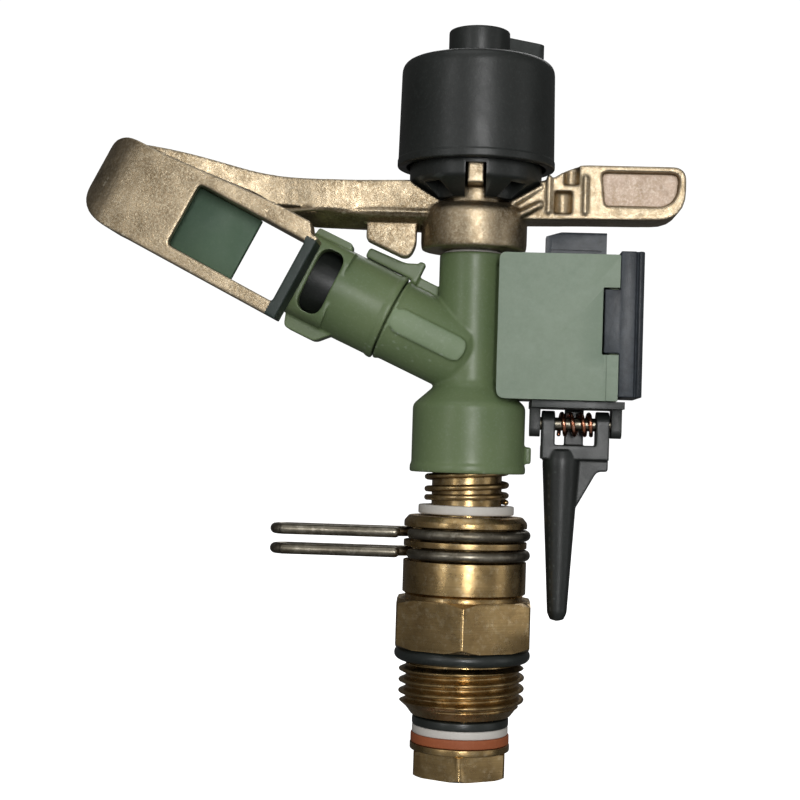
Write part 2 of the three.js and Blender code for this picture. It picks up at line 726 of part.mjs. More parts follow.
// Shoulder on the spoon's upper edge that runs up to the bar.
function spoonWeb() {
  return slabY([
    [spoonUpper - spoonSkin, spoonStart], [spoonShoulder, spoonStart + 2.4],
    [spoonShoulder, spoonStart + 9, 6], [spoonUpper - 0.2, spoonEnd - spoonCurl],
    [spoonUpper - spoonSkin, spoonEnd - spoonCurl],
  ], -spoonFront + 0.4, -spoonBack);
}

function tail() {
  const top = hubBottom + 14.4;
  const bottom = top - tailHeight;
  const front = slabY([
    [0, bottom - 0.6], [tailReach - 15, bottom - 0.2, 2],
    [tailReach, bottom, 5], [tailReach, top, 2.4], [capRadius + 3, top, 2.5], [capRadius - 1, barFaceTop, 2],
    [0, barFaceTop],
  ], -tailThickness / 2, tailThickness / 2);
  const panel = slabY([
    [tailReach - 13.6, bottom + 2.2, 1], [tailReach - 1.4, bottom + 2.2, 3.8],
    [tailReach - 1.0, top - 0.9, 1.5],
    [tailReach - 14.0, top - 0.9, 1],
  ], -tailThickness / 2 - 1, -tailThickness / 2 + tailPanelDepth);
  const pocket = (x, z, radius, height) => moved(
    rod(radius, z - height / 2, z + height / 2, smallSides),
    new THREE.Matrix4().makeTranslation(x, -tailThickness / 2, 0),
  );
  const middle = (top + bottom) / 2;
  const upperPocket = pocket(tailReach - 18.9, middle + 2.4, 1.25, 2.6);
  const lowerPocket = pocket(tailReach - 20.2, middle - 1.9, 1.5, 3.8);
  return cut(front, panel, upperPocket, lowerPocket);
}

// Two short ribs between the neck and the tail's front.
function gussets() {
  const face = -tailThickness / 2;
  const rib = (x, z, run, rise) => slabY([
    [x, z], [x + gussetWidth * 0.7, z - gussetWidth], [x + run, z + rise - gussetWidth], [x + run, z + rise],
  ], face - gussetProud, face + 1);
  return [rib(6.2, hubTop + 0.7, 5.2, 2.8), rib(6.8, hubTop - 1.3, 4.6, 1.7)];
}

// Room for the spring seat on the neck and for the cap that turns above it.
function seatRoom() {
  const seatSide = seatRingRadius + seatClear;
  const capSide = capRadius + capClear;
  const floor = hubTop + seatClear;
  const underCap = capBottom - capClear;
  return turned([
    [armNeckRadius, floor], [seatFootRadius + seatClear, floor], [seatSide, seatRingBottom - seatClear],
    [seatSide, underCap], [capSide, underCap], [capSide, capTop], [armNeckRadius, capTop],
    [armNeckRadius, floor],
  ]);
}

// Lug on the neck that stands in the seat's front slot and turns the seat with the arm.
function seatKey() {
  const half = seatSlotWidth / 2 - keyClear;
  const tip = -(seatRingRadius - 1.3);
  const foot = block(-half, half, tip, -armNeckRadius + 0.8, seatBottom + 1.8, seatRingBottom + 0.8);
  const face = block(-half, half, tip, tip + 0.9, seatBottom + 1.8, seatRingBottom + 2.7);
  return joined(foot, face);
}

function hammerArm() {
  const frame = inclined(spoonTilt);
  const hub = turned([
    [0, hubBottom], [hubRadius, hubBottom], [hubRadius, hubTop - 0.4], [hubRadius - 0.9, hubTop],
    [armNeckRadius, hubTop], [armNeckRadius, hubTop + armNeckHeight], [0, hubTop + armNeckHeight],
  ]);
  const bore = rod(armBore, hubBottom - 1, hubTop + armNeckHeight + 1, smallSides);
  const limbs = cut(joined(armBar(), tail(), ...gussets()), seatRoom());
  const shell = moved(joined(spoon(), spoonWeb()), frame);
  const scoop = joined(limbs, shell).subtract(moved(spoonHollow(), frame));
  return cut(joined(hub, scoop, striker(), seatKey()), bore);
}

// Flat liner held in the scoop behind the window.
function spoonInsert() {
  const near = spoonStart + spoonLip + windowLength - insertLength;
  const level = -spoonBack - 0.1;
  const plate = slabX([
    [level - insertThickness, near], [level, near], [level, spoonEnd - spoonCurl],
    [level - insertThickness, spoonEnd - spoonCurl],
  ], spoonLower + spoonSill + seatGap, spoonUpper - spoonSkin - seatGap);
  return moved(plate, inclined(spoonTilt));
}

function addArm() {
  add('hammer_arm', hammerArm(), brass);
  add('spoon_insert', spoonInsert(), insertGreen);
  const bushTop = hubTop + armNeckHeight;
  const bushing = tube(armBore - seatGap, armPinRadius + turnGap, hubBottom, bushTop, smallSides);
  add('arm_bushing', bushing, white);
  const washerTop = hubBottom - 0.2;
  const washer = tube(barrelRadius - 0.8, armPinRadius + seatGap, barrelTop, washerTop, smallSides);
  add('thrust_washer', washer, white);
}

// ---------------------------------------------------------------- return spring and cap

function springSeat() {
  const ringTop = seatRingBottom + seatRingHeight;
  const cup = turned([
    [armNeckRadius + seatGap, seatBottom], [seatFootRadius, seatBottom], [seatRingRadius, seatRingBottom],
    [seatRingRadius, ringTop], [seatRingRadius - 1.3, ringTop], [seatRingRadius - 1.3, seatRingBottom + 1],
    [armNeckRadius + seatGap, seatRingBottom + 1], [armNeckRadius + seatGap, seatBottom],
  ]);
  const slots = [];
  const root = armNeckRadius + 1.2;
  const half = seatSlotWidth / 2;
  for (let i = 0; i < seatSlots; i += 1) {
    const turn = new THREE.Matrix4().makeRotationZ((i / seatSlots) * 2 * Math.PI);
    const slot = block(root, seatRingRadius - 1.0, -half, half, seatBottom - 1, ringTop + 1);
    slots.push(moved(slot, turn));
  }
  const front = block(-half, half, -seatRingRadius - 1, -armNeckRadius / 2, seatBottom - 1, ringTop - 1);
  return cut(cup, ...slots, front);
}

function springCap() {
  const topRadius = capRadius - capDraft;
  const inside = capRadius - capWall;
  const profile = [[inside, capBottom], [capRadius, capBottom]];
  for (let i = 0; i <= 3; i += 1) {
    const angle = (i / 3) * (Math.PI / 2);
    profile.push([topRadius - capEdge * (1 - Math.cos(angle)), capTop - capEdge * (1 - Math.sin(angle))]);
  }
  const roof = capTop - capWall;
  const bore = armPinRadius + seatGap;
  const sleeve = armPinRadius + 1.4;
  profile.push([bore, capTop], [bore, roof - 5], [sleeve, roof - 5], [sleeve, roof]);
  profile.push([inside - capDraft, roof], [inside, capBottom]);
  return turned(profile);
}

function tensionAdjuster() {
  const bottom = capTop + turnGap;
  const boss = turned([
    [0, bottom], [adjusterRadius, bottom], [adjusterRadius, adjusterTop - 0.5],
    [adjusterRadius - 0.6, adjusterTop], [0, adjusterTop],
  ], 32);
  const half = adjusterLugWidth / 2;
  const lug = slabZ([
    [0, -half], [adjusterLugReach, -half, 2.2], [adjusterLugReach, half, 2.2], [0, half],
  ], bottom, adjusterTop - 0.9);
  const slotHalf = adjusterRadius * 0.6;
  const slot = block(-slotHalf, slotHalf, -0.5, 0.5, adjusterTop - 1, adjusterTop + 1);
  const bore = rod(armPinRadius + turnGap, bottom - 1, adjusterTop - 1.6, smallSides);
  const turn = new THREE.Matrix4().makeRotationZ(THREE.MathUtils.degToRad(adjusterAngle));
  return moved(cut(joined(boss, lug), slot, bore), turn);
}

function addCap() {
  add('spring_seat', springSeat(), black);
  const springBottom = seatRingBottom + 1 + seatGap;
  const springTop = capTop - capWall - 2 * seatGap;
  const spring = coil(armSpringRadius, armSpringWire, springBottom, springTop, armSpringTurns, 14);
  add('arm_spring', spring, steel);
  add('spring_cap', springCap(), black);
  add('tension_adjuster', tensionAdjuster(), black);
  const pin = rod(armPinRadius, barrelTop - 10.5, adjusterTop - 2, smallSides);
  add('arm_pin', pin, steel);
  const screw = turned([
    [0, capTop + seatGap], [screwRadius, capTop + seatGap], [screwRadius, capTop + 0.7], [0, capTop + 1.0],
  ], 12);
  add('clamp_screw', moved(screw, new THREE.Matrix4().makeTranslation(0, -adjusterRadius - 1.6, 0)), steel);
}

// ---------------------------------------------------------------- reversing mechanism

function mechanismHousing() {
  const shell = block(housingStart, housingEnd, -housingHalf, housingHalf, housingBottom, housingTop);
  const room = block(housingStart + housingWall, housingEnd - housingWall, -housingHalf - 1,
    housingHalf - housingWall, housingBottom + housingWall, housingTop - housingWall);
  const slotHalf = housingHalf - 1.2;
  const [tabLeft, tabRight] = [tabStart - turnGap, tabEnd + turnGap];
  const tabSlot = block(tabLeft, tabRight, -slotHalf, slotHalf, housingTop - 3, housingTop + 1);
  const middle = (yokeStart + yokeEnd) / 2;
  const reach = tongueWidth / 2 + turnGap;
  const [left, right] = [middle - reach, middle + reach];
  const tongueSlot = block(left, right, -slotHalf, slotHalf, housingBottom - 1, housingBottom + 3);
  const pinHole = rodX(pivotRadius + seatGap, housingStart - 1, housingEnd + 1, 0, tabPivot, 12);
  const shoulder = turned([
    [0, skirtTop - 1], [skirtRadius + turnGap, skirtTop - 1], [skirtRadius + turnGap, skirtTop + turnGap],
    [barrelRadius + turnGap, shoulderTop + turnGap], [0, shoulderTop + turnGap],
  ]);
  return cut(shell, room, tabSlot, tongueSlot, pinHole, shoulder);
}

function housingCover() {
  const y1 = -housingHalf - seatGap;
  const y0 = y1 - coverThickness;
  const notchTop = housingTop - clipNotchDrop;
  const notchBottom = notchTop - clipTongueHeight;
  const notch = housingEnd - clipTongue;
  const plate = slabY([
    [coverStart, housingBottom, 1.4], [housingEnd, housingBottom], [housingEnd, notchBottom],
    [notch, notchBottom], [notch, notchTop], [housingEnd, notchTop], [housingEnd, housingTop],
    [coverStart, housingTop, 0.8],
  ], y0, y1);
  const foot = block(housingEnd - 1.9, housingEnd, y0 - 0.35, y1, housingBottom, notchBottom);
  return joined(plate, foot);
}

function clipCover() {
  const x0 = housingEnd + seatGap;
  const x1 = x0 + clipWidth;
  const y0 = -housingHalf - coverThickness - 0.1;
  const top = housingTop + 0.6;
  const bottom = housingBottom + 0.7;
  const rail = slabZ([
    [x0, y0], [x1, y0, 0.7], [x1, housingHalf], [x0, housingHalf],
  ], bottom, top);
  const notchTop = housingTop - clipNotchDrop - turnGap;
  const notchBottom = notchTop - clipTongueHeight + 2 * turnGap;
  const tongue = block(housingEnd - clipTongue + turnGap, x0 + 0.5, y0, y0 + 1.2, notchBottom, notchTop);
  return joined(rail, tongue);
}

// Bracket under the housing, with a hanger at each end for the trip lever's pin.
function leverBracket() {
  const middle = (yokeStart + yokeEnd) / 2;
  const top = housingBottom - seatGap;
  const bottom = leverPivot - 2.2;
  const left = yokeStart - turnGap - hangerThickness;
  const right = yokeEnd + turnGap + hangerThickness;
  const plate = block(left, right, -housingHalf, housingHalf, top - hangerPlate, top);
  const hanger = (x) => block(x, x + hangerThickness, -yokeHalf, yokeHalf, bottom, top);
  const reach = tongueWidth / 2 + turnGap;
  const slotHalf = housingHalf - 1.2;
  const slot = block(middle - reach, middle + reach, -slotHalf, slotHalf, top - 3, top + 1);
  const pinHole = rodX(pivotRadius + seatGap, left - 1, right + 1, 0, leverPivot, 12);
  return cut(joined(plate, hanger(left), hanger(right - hangerThickness)), slot, pinHole);
}

function tripLever() {
  const middle = (yokeStart + yokeEnd) / 2;
  const under = leverPivot - yokeHeight;
  const back = toggleRadius + turnGap + webThickness;
  const armOutline = [[-yokeHalf, under], [yokeHalf, under]];
  for (let i = 0; i <= 6; i += 1) {
    const angle = (i / 6) * Math.PI;
    armOutline.push([yokeHalf * Math.cos(angle), leverPivot + yokeHalf * Math.sin(angle)]);
  }
  const leftArm = slabX(armOutline, yokeStart, yokeStart + yokeArm);
  const rightArm = slabX(armOutline, yokeEnd - yokeArm, yokeEnd);
  const bar = block(yokeStart, yokeEnd, -yokeHalf, back, under, under + yokeBar);
  const tongueFoot = leverPivot + toggleRadius + turnGap;
  const tongue = slabX([
    [back - webThickness, under], [back, under], [back, tongueFoot + 0.8], [0.9, tongueFoot + 2.6],
    [0.9, leverPivot + tongueReach, 0.5], [-0.9, leverPivot + tongueReach, 0.5], [-0.9, tongueFoot],
    [back - webThickness, tongueFoot],
  ], middle - tongueWidth / 2, middle + tongueWidth / 2);
  const tip = leverPivot - coneTipDrop;
  const cone = turned([
    [0, tip], [coneTipRadius * 0.7, tip + 0.4], [coneTipRadius, tip + 1.4], [coneRootRadius, under - 0.2],
    [coneRootRadius - 0.5, under + 1.5], [0, under + 1.5],
  ], 24);
  const placed = moved(cone, new THREE.Matrix4().makeTranslation(coneCentre, 0, 0));
  const gusset = slabY([
    [coneCentre, under + 1], [yokeEnd, under + 1], [yokeEnd, under - 1.9], [yokeEnd - 1.8, under - 1.9],
    [coneCentre + 2.3, under - 8.6], [coneCentre, under - 8.6],
  ], -0.8, 0.8);
  const pinHole = rodX(pivotRadius + turnGap, yokeStart - 1, yokeEnd + 1, 0, leverPivot, 12);
  return cut(joined(leftArm, rightArm, bar, tongue, placed, gusset), pinHole);
}

function reversingLever() {
  const half = tabThickness / 2;
  const top = housingTop + tabRise;
  const plate = slabX([
    [-half, tabPivot, 0.4], [half, tabPivot, 0.4], [half, top, 0.5], [-half, top, 0.5],
  ], tabStart, tabEnd);
  const slope = slabY([
    [tabStart - 1, top - 1.1], [tabStart - 1, top + 1], [tabStart + 6, top + 1],
  ], -half - 1, half + 1);
  const eye = rodX(half + 1.1, tabStart, tabEnd, 0, tabPivot);
  const pinHole = rodX(pivotRadius + turnGap, tabStart - 1, tabEnd + 1, 0, tabPivot, 12);
  return cut(joined(plate, eye), slope, pinHole);
}

function toggleSpring() {
  const x0 = yokeStart + yokeArm + turnGap;
  const x1 = yokeEnd - yokeArm - turnGap;
  const turn = new THREE.Matrix4().makeRotationY(Math.PI / 2).setPosition(0, 0, leverPivot);
  return moved(coil(toggleRadius, toggleWire, x0, x1, toggleTurns, 12), turn);
}

function addMechanism() {
  add('mechanism_housing', mechanismHousing(), green);
  add('housing_cover', housingCover(), coverGreen);
  add('clip_cover', clipCover(), black);
  add('lever_bracket', leverBracket(), black);
  add('trip_lever', tripLever(), black);
  add('reversing_lever', reversingLever(), black);
  add('toggle_spring', toggleSpring(), copper);
  const left = yokeStart - turnGap - hangerThickness;
  const right = yokeEnd + turnGap + hangerThickness;
  add('trip_pivot_pin', rodX(pivotRadius, left, right, 0, leverPivot, 12), steel);
  add('reversing_pivot_pin', rodX(pivotRadius, housingStart + 0.1, housingEnd, 0, tabPivot, 12), steel);
}

addBearing();
addBody();
addArm();
addCap();
addMechanism();

export default sprinkler;
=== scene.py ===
import sys
import logging
import math
from dataclasses import dataclass, field
from enum import Enum
from typing import Callable, Sequence

import bmesh
import bpy
from mathutils import Matrix, Vector


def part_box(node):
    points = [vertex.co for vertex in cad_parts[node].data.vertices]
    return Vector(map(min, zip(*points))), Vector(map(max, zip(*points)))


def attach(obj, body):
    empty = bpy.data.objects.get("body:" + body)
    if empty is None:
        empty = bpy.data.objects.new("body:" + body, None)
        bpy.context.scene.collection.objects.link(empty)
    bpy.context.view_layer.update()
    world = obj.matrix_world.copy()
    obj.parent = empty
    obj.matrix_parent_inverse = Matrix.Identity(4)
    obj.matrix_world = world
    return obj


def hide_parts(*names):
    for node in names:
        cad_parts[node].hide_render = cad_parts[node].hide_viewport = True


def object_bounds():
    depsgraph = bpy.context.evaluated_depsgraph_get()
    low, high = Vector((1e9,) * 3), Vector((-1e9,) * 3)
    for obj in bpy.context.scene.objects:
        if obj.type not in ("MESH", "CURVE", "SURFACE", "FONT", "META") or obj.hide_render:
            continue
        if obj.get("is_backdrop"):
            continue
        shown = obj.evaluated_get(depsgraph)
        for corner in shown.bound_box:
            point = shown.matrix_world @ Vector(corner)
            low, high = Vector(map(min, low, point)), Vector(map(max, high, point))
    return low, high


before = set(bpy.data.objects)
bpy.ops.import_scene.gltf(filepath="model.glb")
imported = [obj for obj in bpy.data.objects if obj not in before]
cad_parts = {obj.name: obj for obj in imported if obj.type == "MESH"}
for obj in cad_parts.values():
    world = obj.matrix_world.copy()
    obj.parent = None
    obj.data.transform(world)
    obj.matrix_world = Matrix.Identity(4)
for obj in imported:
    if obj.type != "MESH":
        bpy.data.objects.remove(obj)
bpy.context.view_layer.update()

# Part-circle impact sprinkler. Pieces are made in millimetres in the frame's own axes and set
# down in metres. The nozzle points towards -X and the reversing mechanism is on the +X side.

LOG = logging.getLogger("sprinkler")
MM = 0.001
Pair = tuple[float, float]
Corner = tuple[float, ...]
Colour = tuple[int, int, int]
Pair3 = tuple[float, float, float]


# ------------------------------------------------------------------------------ solids


class Axis(Enum):
    """The direction in which an outline is given its thickness."""

    X = 0
    Y = 1
    Z = 2


class Joint(Enum):
    """How two solids are put together."""

    ADD = "UNION"
    CUT = "DIFFERENCE"
    COMMON = "INTERSECT"


def rounded(corners: Sequence[Corner], steps: int = 6, ring: bool = True) -> list[Pair]:
    """Rounds the corners of an outline or profile.

    Args:
        corners: Points, each with an optional third number, the length its rounding takes.
        steps: Segments in each rounded corner.
        ring: Whether the last point joins the first.

    Returns:
        The points of the rounded outline.
    """
    made: list[Pair] = []
    count = len(corners)
    for i, corner in enumerate(corners):
        here = Vector(corner[:2])
        reach = corner[2] if len(corner) > 2 else 0.0
        if reach <= 0 or (not ring and i in (0, count - 1)):
            made.append((here.x, here.y))
            continue
        before = (Vector(corners[i - 1][:2]) - here).normalized() * reach + here
        after = (Vector(corners[(i + 1) % count][:2]) - here).normalized() * reach + here
        for k in range(steps + 1):
            t = k / steps
            point = before * (1 - t) ** 2 + here * (2 * t * (1 - t)) + after * t * t
            made.append((point.x, point.y))
    kept = [made[0]]
    for point in made[1:]:
        if math.dist(point, kept[-1]) > 1e-4:
            kept.append(point)
    return kept


def circle_points(centre: Pair, radius: float, start: float, end: float, steps: int) -> list[Pair]:
    """Points on an arc.

    Args:
        centre: The arc's centre.
        radius: Its radius.
        start: First angle in degrees.
        end: Last angle in degrees.
        steps: Segments in the arc.

    Returns:
        The points, ends included.
    """
    made = []
    for k in range(steps + 1):
        angle = math.radians(start + (end - start) * k / steps)
        made.append((centre[0] + radius * math.cos(angle), centre[1] + radius * math.sin(angle)))
    return made


def flowing(points: Sequence[Sequence[float]], steps: int = 8) -> list[Vector]:
    """A smooth line through points.

    Args:
        points: The places it goes through.
        steps: Segments between two of them.

    Returns:
        The line's points.
    """
    stops = [Vector(p) for p in points]
    stops = [stops[0] * 2 - stops[1], *stops, stops[-1] * 2 - stops[-2]]
    made: list[Vector] = []
    for a, b, c, d in zip(stops, stops[1:], stops[2:], stops[3:]):
        square = a * 2 - b * 5 + c * 4 - d
        cube = b * 3 - a - c * 3 + d
        for k in range(steps):
            t = k / steps
            made.append((b * 2 + (c - a) * t + square * t**2 + cube * t**3) * 0.5)
    made.append(stops[-2].copy())
    return made


def helix(radius: float, low: float, high: float, turns: float, steps: int = 36) -> list[Vector]:
    """The centre line of a coil about Z whose end turns lie flat.

    Args:
        radius: Of the centre line.
        low: Its lowest level.
        high: Its highest level.
        turns: How many times it goes round.
        steps: Segments in each turn.

    Returns:
        The line's points.
    """
    made = []
    count = round(turns * steps)
    for k in range(count + 1):
        t = k / count
        eased = t - 0.35 * math.sin(2 * math.pi * t) / (2 * math.pi)
        angle = 2 * math.pi * turns * t
        made.append(
            Vector((radius * math.cos(angle), radius * math.sin(angle), low + (high - low) * eased))
        )
    return made


class Solid:
    """A closed shape in millimetres."""

    def __init__(self, mesh: bpy.types.Mesh) -> None:
        """Wraps a mesh."""
        self.mesh = mesh

    @classmethod
    def of(cls, points: Sequence[Sequence[float]], faces: Sequence[Sequence[int]]) -> "Solid":
        """Makes a solid from points and faces, with its faces turned outwards.

        Args:
            points: Places of the vertices.
            faces: Vertex numbers of each face.

        Returns:
            The solid.
        """
        mesh = bpy.data.meshes.new("solid")
        mesh.from_pydata([tuple(p) for p in points], [], [tuple(f) for f in faces])
        work = bmesh.new()
        work.from_mesh(mesh)
        bmesh.ops.recalc_face_normals(work, faces=work.faces)
        work.to_mesh(mesh)
        work.free()
        return cls(mesh)

    @classmethod
    def turned(cls, profile: Sequence[Corner], sides: int = 72, steps: int = 4) -> "Solid":
        """A piece turned about Z.

        Args:
            profile: Radius, height and rounding of each corner, up the outside. Where the last
                corner repeats the first it is a ring, and otherwise both ends are on the axis.
            sides: Facets round it.
            steps: Segments in each rounded corner.

        Returns:
            The solid.
        """
        closed = tuple(profile[0][:2]) == tuple(profile[-1][:2])
        line = rounded(profile[:-1], steps) if closed else rounded(profile, steps, ring=False)
        points: list[Sequence[float]] = []
        rows: list[list[int]] = []
        for radius, height in line:
            start = len(points)
            if radius < 1e-6:
                rows.append([start] * sides)
                points.append((0, 0, height))
                continue
            rows.append(list(range(start, start + sides)))
            for k in range(sides):
                angle = 2 * math.pi * k / sides
                points.append((radius * math.cos(angle), radius * math.sin(angle), height))
        pairs = list(zip(rows, rows[1:]))
        if closed:
            pairs.append((rows[-1], rows[0]))
        faces = []
        for low, high in pairs:
            for k in range(sides):
                n = (k + 1) % sides
                face = list(dict.fromkeys([low[k], low[n], high[n], high[k]]))
                if len(face) > 2:
                    faces.append(face)
        return cls.of(points, faces)

    @classmethod
    def rod(
        cls, radius: float, low: float, high: float, sides: int = 64, edge: float = 0.0
    ) -> "Solid":
        """A round bar about Z with rounded rims."""
        return cls.turned([(0, low), (radius, low, edge), (radius, high, edge), (0, high)], sides)

    @classmethod
    def tube(
        cls, outer: float, inner: float, low: float, high: float, sides: int = 64, edge: float = 0.0
    ) -> "Solid":
        """A ring about Z with rounded rims."""
        corners = [(inner, low, edge), (outer, low, edge), (outer, high, edge), (inner, high, edge)]
        return cls.turned([*corners, corners[0]], sides)

    @classmethod
    def slab(
        cls, corners: Sequence[Corner], axis: Axis, low: float, high: float, steps: int = 6
    ) -> "Solid":
        """An outline with a thickness.

        Args:
            corners: The outline in the two other axes, in their order, with roundings.
            axis: The direction of its thickness.
            low: Where it starts along that axis.
            high: Where it ends.
            steps: Segments in each rounded corner.

        Returns:
            The solid.
        """
        line = rounded(corners, steps)
        if math.dist(line[0], line[-1]) < 1e-4:
            line.pop()
        points = []
        for level in (low, high):
            for u, v in line:
                place = [u, v]
                place.insert(axis.value, level)
                points.append(place)
        count = len(line)
        faces: list[list[int]] = [list(range(count)), list(range(count, 2 * count))]
        for k in range(count):
            n = (k + 1) % count
            faces.append([k, n, count + n, count + k])
        return cls.of(points, faces)

    @classmethod
    def block(cls, x0: float, x1: float, y0: float, y1: float, z0: float, z1: float) -> "Solid":
        """A rectangular block."""
        return cls.slab([(x0, y0), (x1, y0), (x1, y1), (x0, y1)], Axis.Z, z0, z1)

    @classmethod
    def wire(cls, path: Sequence[Vector], radius: float, sides: int = 14) -> "Solid":
        """Round wire with rounded ends.

        Args:
            path: Points of its centre line.
            radius: Half its diameter.
            sides: Facets round it.

        Returns:
            The solid.
        """
        tangents = []
        for i in range(len(path)):
            ahead = path[min(i + 1, len(path) - 1)]
            behind = path[max(i - 1, 0)]
            tangents.append((ahead - behind).normalized())
        across = tangents[0].orthogonal().normalized()
        rings: list[tuple[Vector, Vector, Vector, float]] = []
        for point, tangent in zip(path, tangents):
            across = (across - tangent * across.dot(tangent)).normalized()
            rings.append((point, across.copy(), tangent.cross(across), radius))
        caps = [(math.sin(math.radians(a)), math.cos(math.radians(a))) for a in (68, 40, 18)]
        first, last = rings[0], rings[-1]
        head = [
            (first[0] - tangents[0] * radius * s, first[1], first[2], radius * c) for s, c in caps
        ]
        foot = [
            (last[0] + tangents[-1] * radius * s, last[1], last[2], radius * c) for s, c in caps
        ]
        rings = [*head, *rings, *reversed(foot)]
        points: list[Sequence[float]] = []
        for centre, u, v, size in rings:
            for k in range(sides):
                angle = 2 * math.pi * k / sides
                points.append(centre + u * (size * math.cos(angle)) + v * (size * math.sin(angle)))
        faces: list[list[int]] = []
        for i in range(len(rings) - 1):
            for k in range(sides):
                n = (k + 1) % sides
                here, ahead = i * sides, (i + 1) * sides
                faces.append([here + k, here + n, ahead + n, ahead + k])
        tail = (len(rings) - 1) * sides
        faces.append(list(range(sides)))
        faces.append(list(range(tail, tail + sides)))
        return cls.of(points, faces)

    def moved(self, matrix: Matrix) -> "Solid":
        """The solid in another place."""
        mesh = self.mesh.copy()
        mesh.transform(matrix)
        return Solid(mesh)

    def shifted(self, x: float = 0.0, y: float = 0.0, z: float = 0.0) -> "Solid":
        """The solid moved along the axes."""
        return self.moved(Matrix.Translation((x, y, z)))

    def worked(self, change: Callable[[bpy.types.Object], None]) -> "Solid":
        """The solid after modifiers.

        Args:
            change: Adds the modifiers to the object it is given.

        Returns:
            The solid with them applied.
        """
        held = bpy.data.objects.new("held", self.mesh)
        bpy.context.scene.collection.objects.link(held)
        change(held)
        graph = bpy.context.evaluated_depsgraph_get()
        made = bpy.data.meshes.new_from_object(held.evaluated_get(graph))
        bpy.data.objects.remove(held)
        return Solid(made)

    def put(self, other: "Solid", how: Joint) -> "Solid":
        """The solid put together with another.

        Args:
            other: The second solid.
            how: Whether it is added, cut away or what both have in common is kept.

        Returns:
            The result.
        """
        tool = bpy.data.objects.new("tool", other.mesh)
        bpy.context.scene.collection.objects.link(tool)

        def change(held: bpy.types.Object) -> None:
            """Adds the boolean."""
            step = held.modifiers.new("put", "BOOLEAN")
            step.operation = how.value
            step.object = tool
            step.solver = "MANIFOLD"

        made = self.worked(change)
        bpy.data.objects.remove(tool)
        return made

    def plus(self, *others: "Solid") -> "Solid":
        """The solid with others added."""
        made = self
        for other in others:
            made = made.put(other, Joint.ADD)
        return made

    def minus(self, *others: "Solid") -> "Solid":
        """The solid with others cut away."""
        made = self
        for other in others:
            made = made.put(other, Joint.CUT)
        return made

    def common(self, *others: "Solid") -> "Solid":
        """What the solid has in common with others."""
        made = self
        for other in others:
            made = made.put(other, Joint.COMMON)
        return made

    def cast(self, grain: float, passes: int) -> "Solid":
        """The solid with the soft edges and fillets of a casting or moulding.

        Args:
            grain: Spacing of its new vertices.
            passes: How often they are evened out, which widens the fillets.

        Returns:
            The softened solid.
        """

        def change(held: bpy.types.Object) -> None:
            """Adds the remesh and the smoothing."""
            skin = held.modifiers.new("skin", "REMESH")
            skin.mode = "VOXEL"
            skin.voxel_size = grain
            even = held.modifiers.new("even", "SMOOTH")
            even.factor = 0.5
            even.iterations = passes

        return self.worked(change)

    def broken(self, width: float, segments: int = 3, above: float = 30.0) -> "Solid":
        """The solid with its sharp edges rounded.

        Args:
            width: How far back from an edge the rounding starts.
            segments: Facets across it.
            above: Edges that turn by less than this many degrees are left.

        Returns:
            The eased solid.
        """
        mesh = self.mesh.copy()
        work = bmesh.new()
        work.from_mesh(mesh)
        bmesh.ops.dissolve_limit(
            work, angle_limit=math.radians(0.6), verts=work.verts, edges=work.edges
        )
        work.to_mesh(mesh)
        work.free()

        def change(held: bpy.types.Object) -> None:
            """Adds the bevel."""
            edge = held.modifiers.new("edge", "BEVEL")
            edge.width = width
            edge.segments = segments
            edge.limit_method = "ANGLE"
            edge.angle_limit = math.radians(above)
            edge.use_clamp_overlap = True
            edge.miter_outer = "MITER_ARC"

        return Solid(mesh).worked(change)


def hexagon(flats: float, low: float, high: float, chamfer: float, turn: float = 30.0) -> Solid:
    """A hexagonal bar whose corners are turned back at both ends, as a spanner size is made.

    Args:
        flats: Across two opposite faces.
        low: Its lower level.
        high: Its upper level.
        chamfer: How far the end faces stop short of the corners.
        turn: Bearing of the first corner in degrees.

    Returns:
        The solid.
    """
    corner = flats / math.sqrt(3)
    outline = []
    for k in range(6):
        angle = math.radians(turn + 60 * k)
        outline.append((corner * math.cos(angle), corner * math.sin(angle), 0.35))
    rim = corner - chamfer
    drop = chamfer * 0.58
    turned = Solid.turned(
        [(0, low), (rim, low), (corner + 0.3, low + drop * 1.3), (corner + 0.3, high - drop * 1.3),
         (rim, high), (0, high)],
        sides=144,
    )
    return Solid.slab(outline, Axis.Z, low, high, steps=3).common(turned)


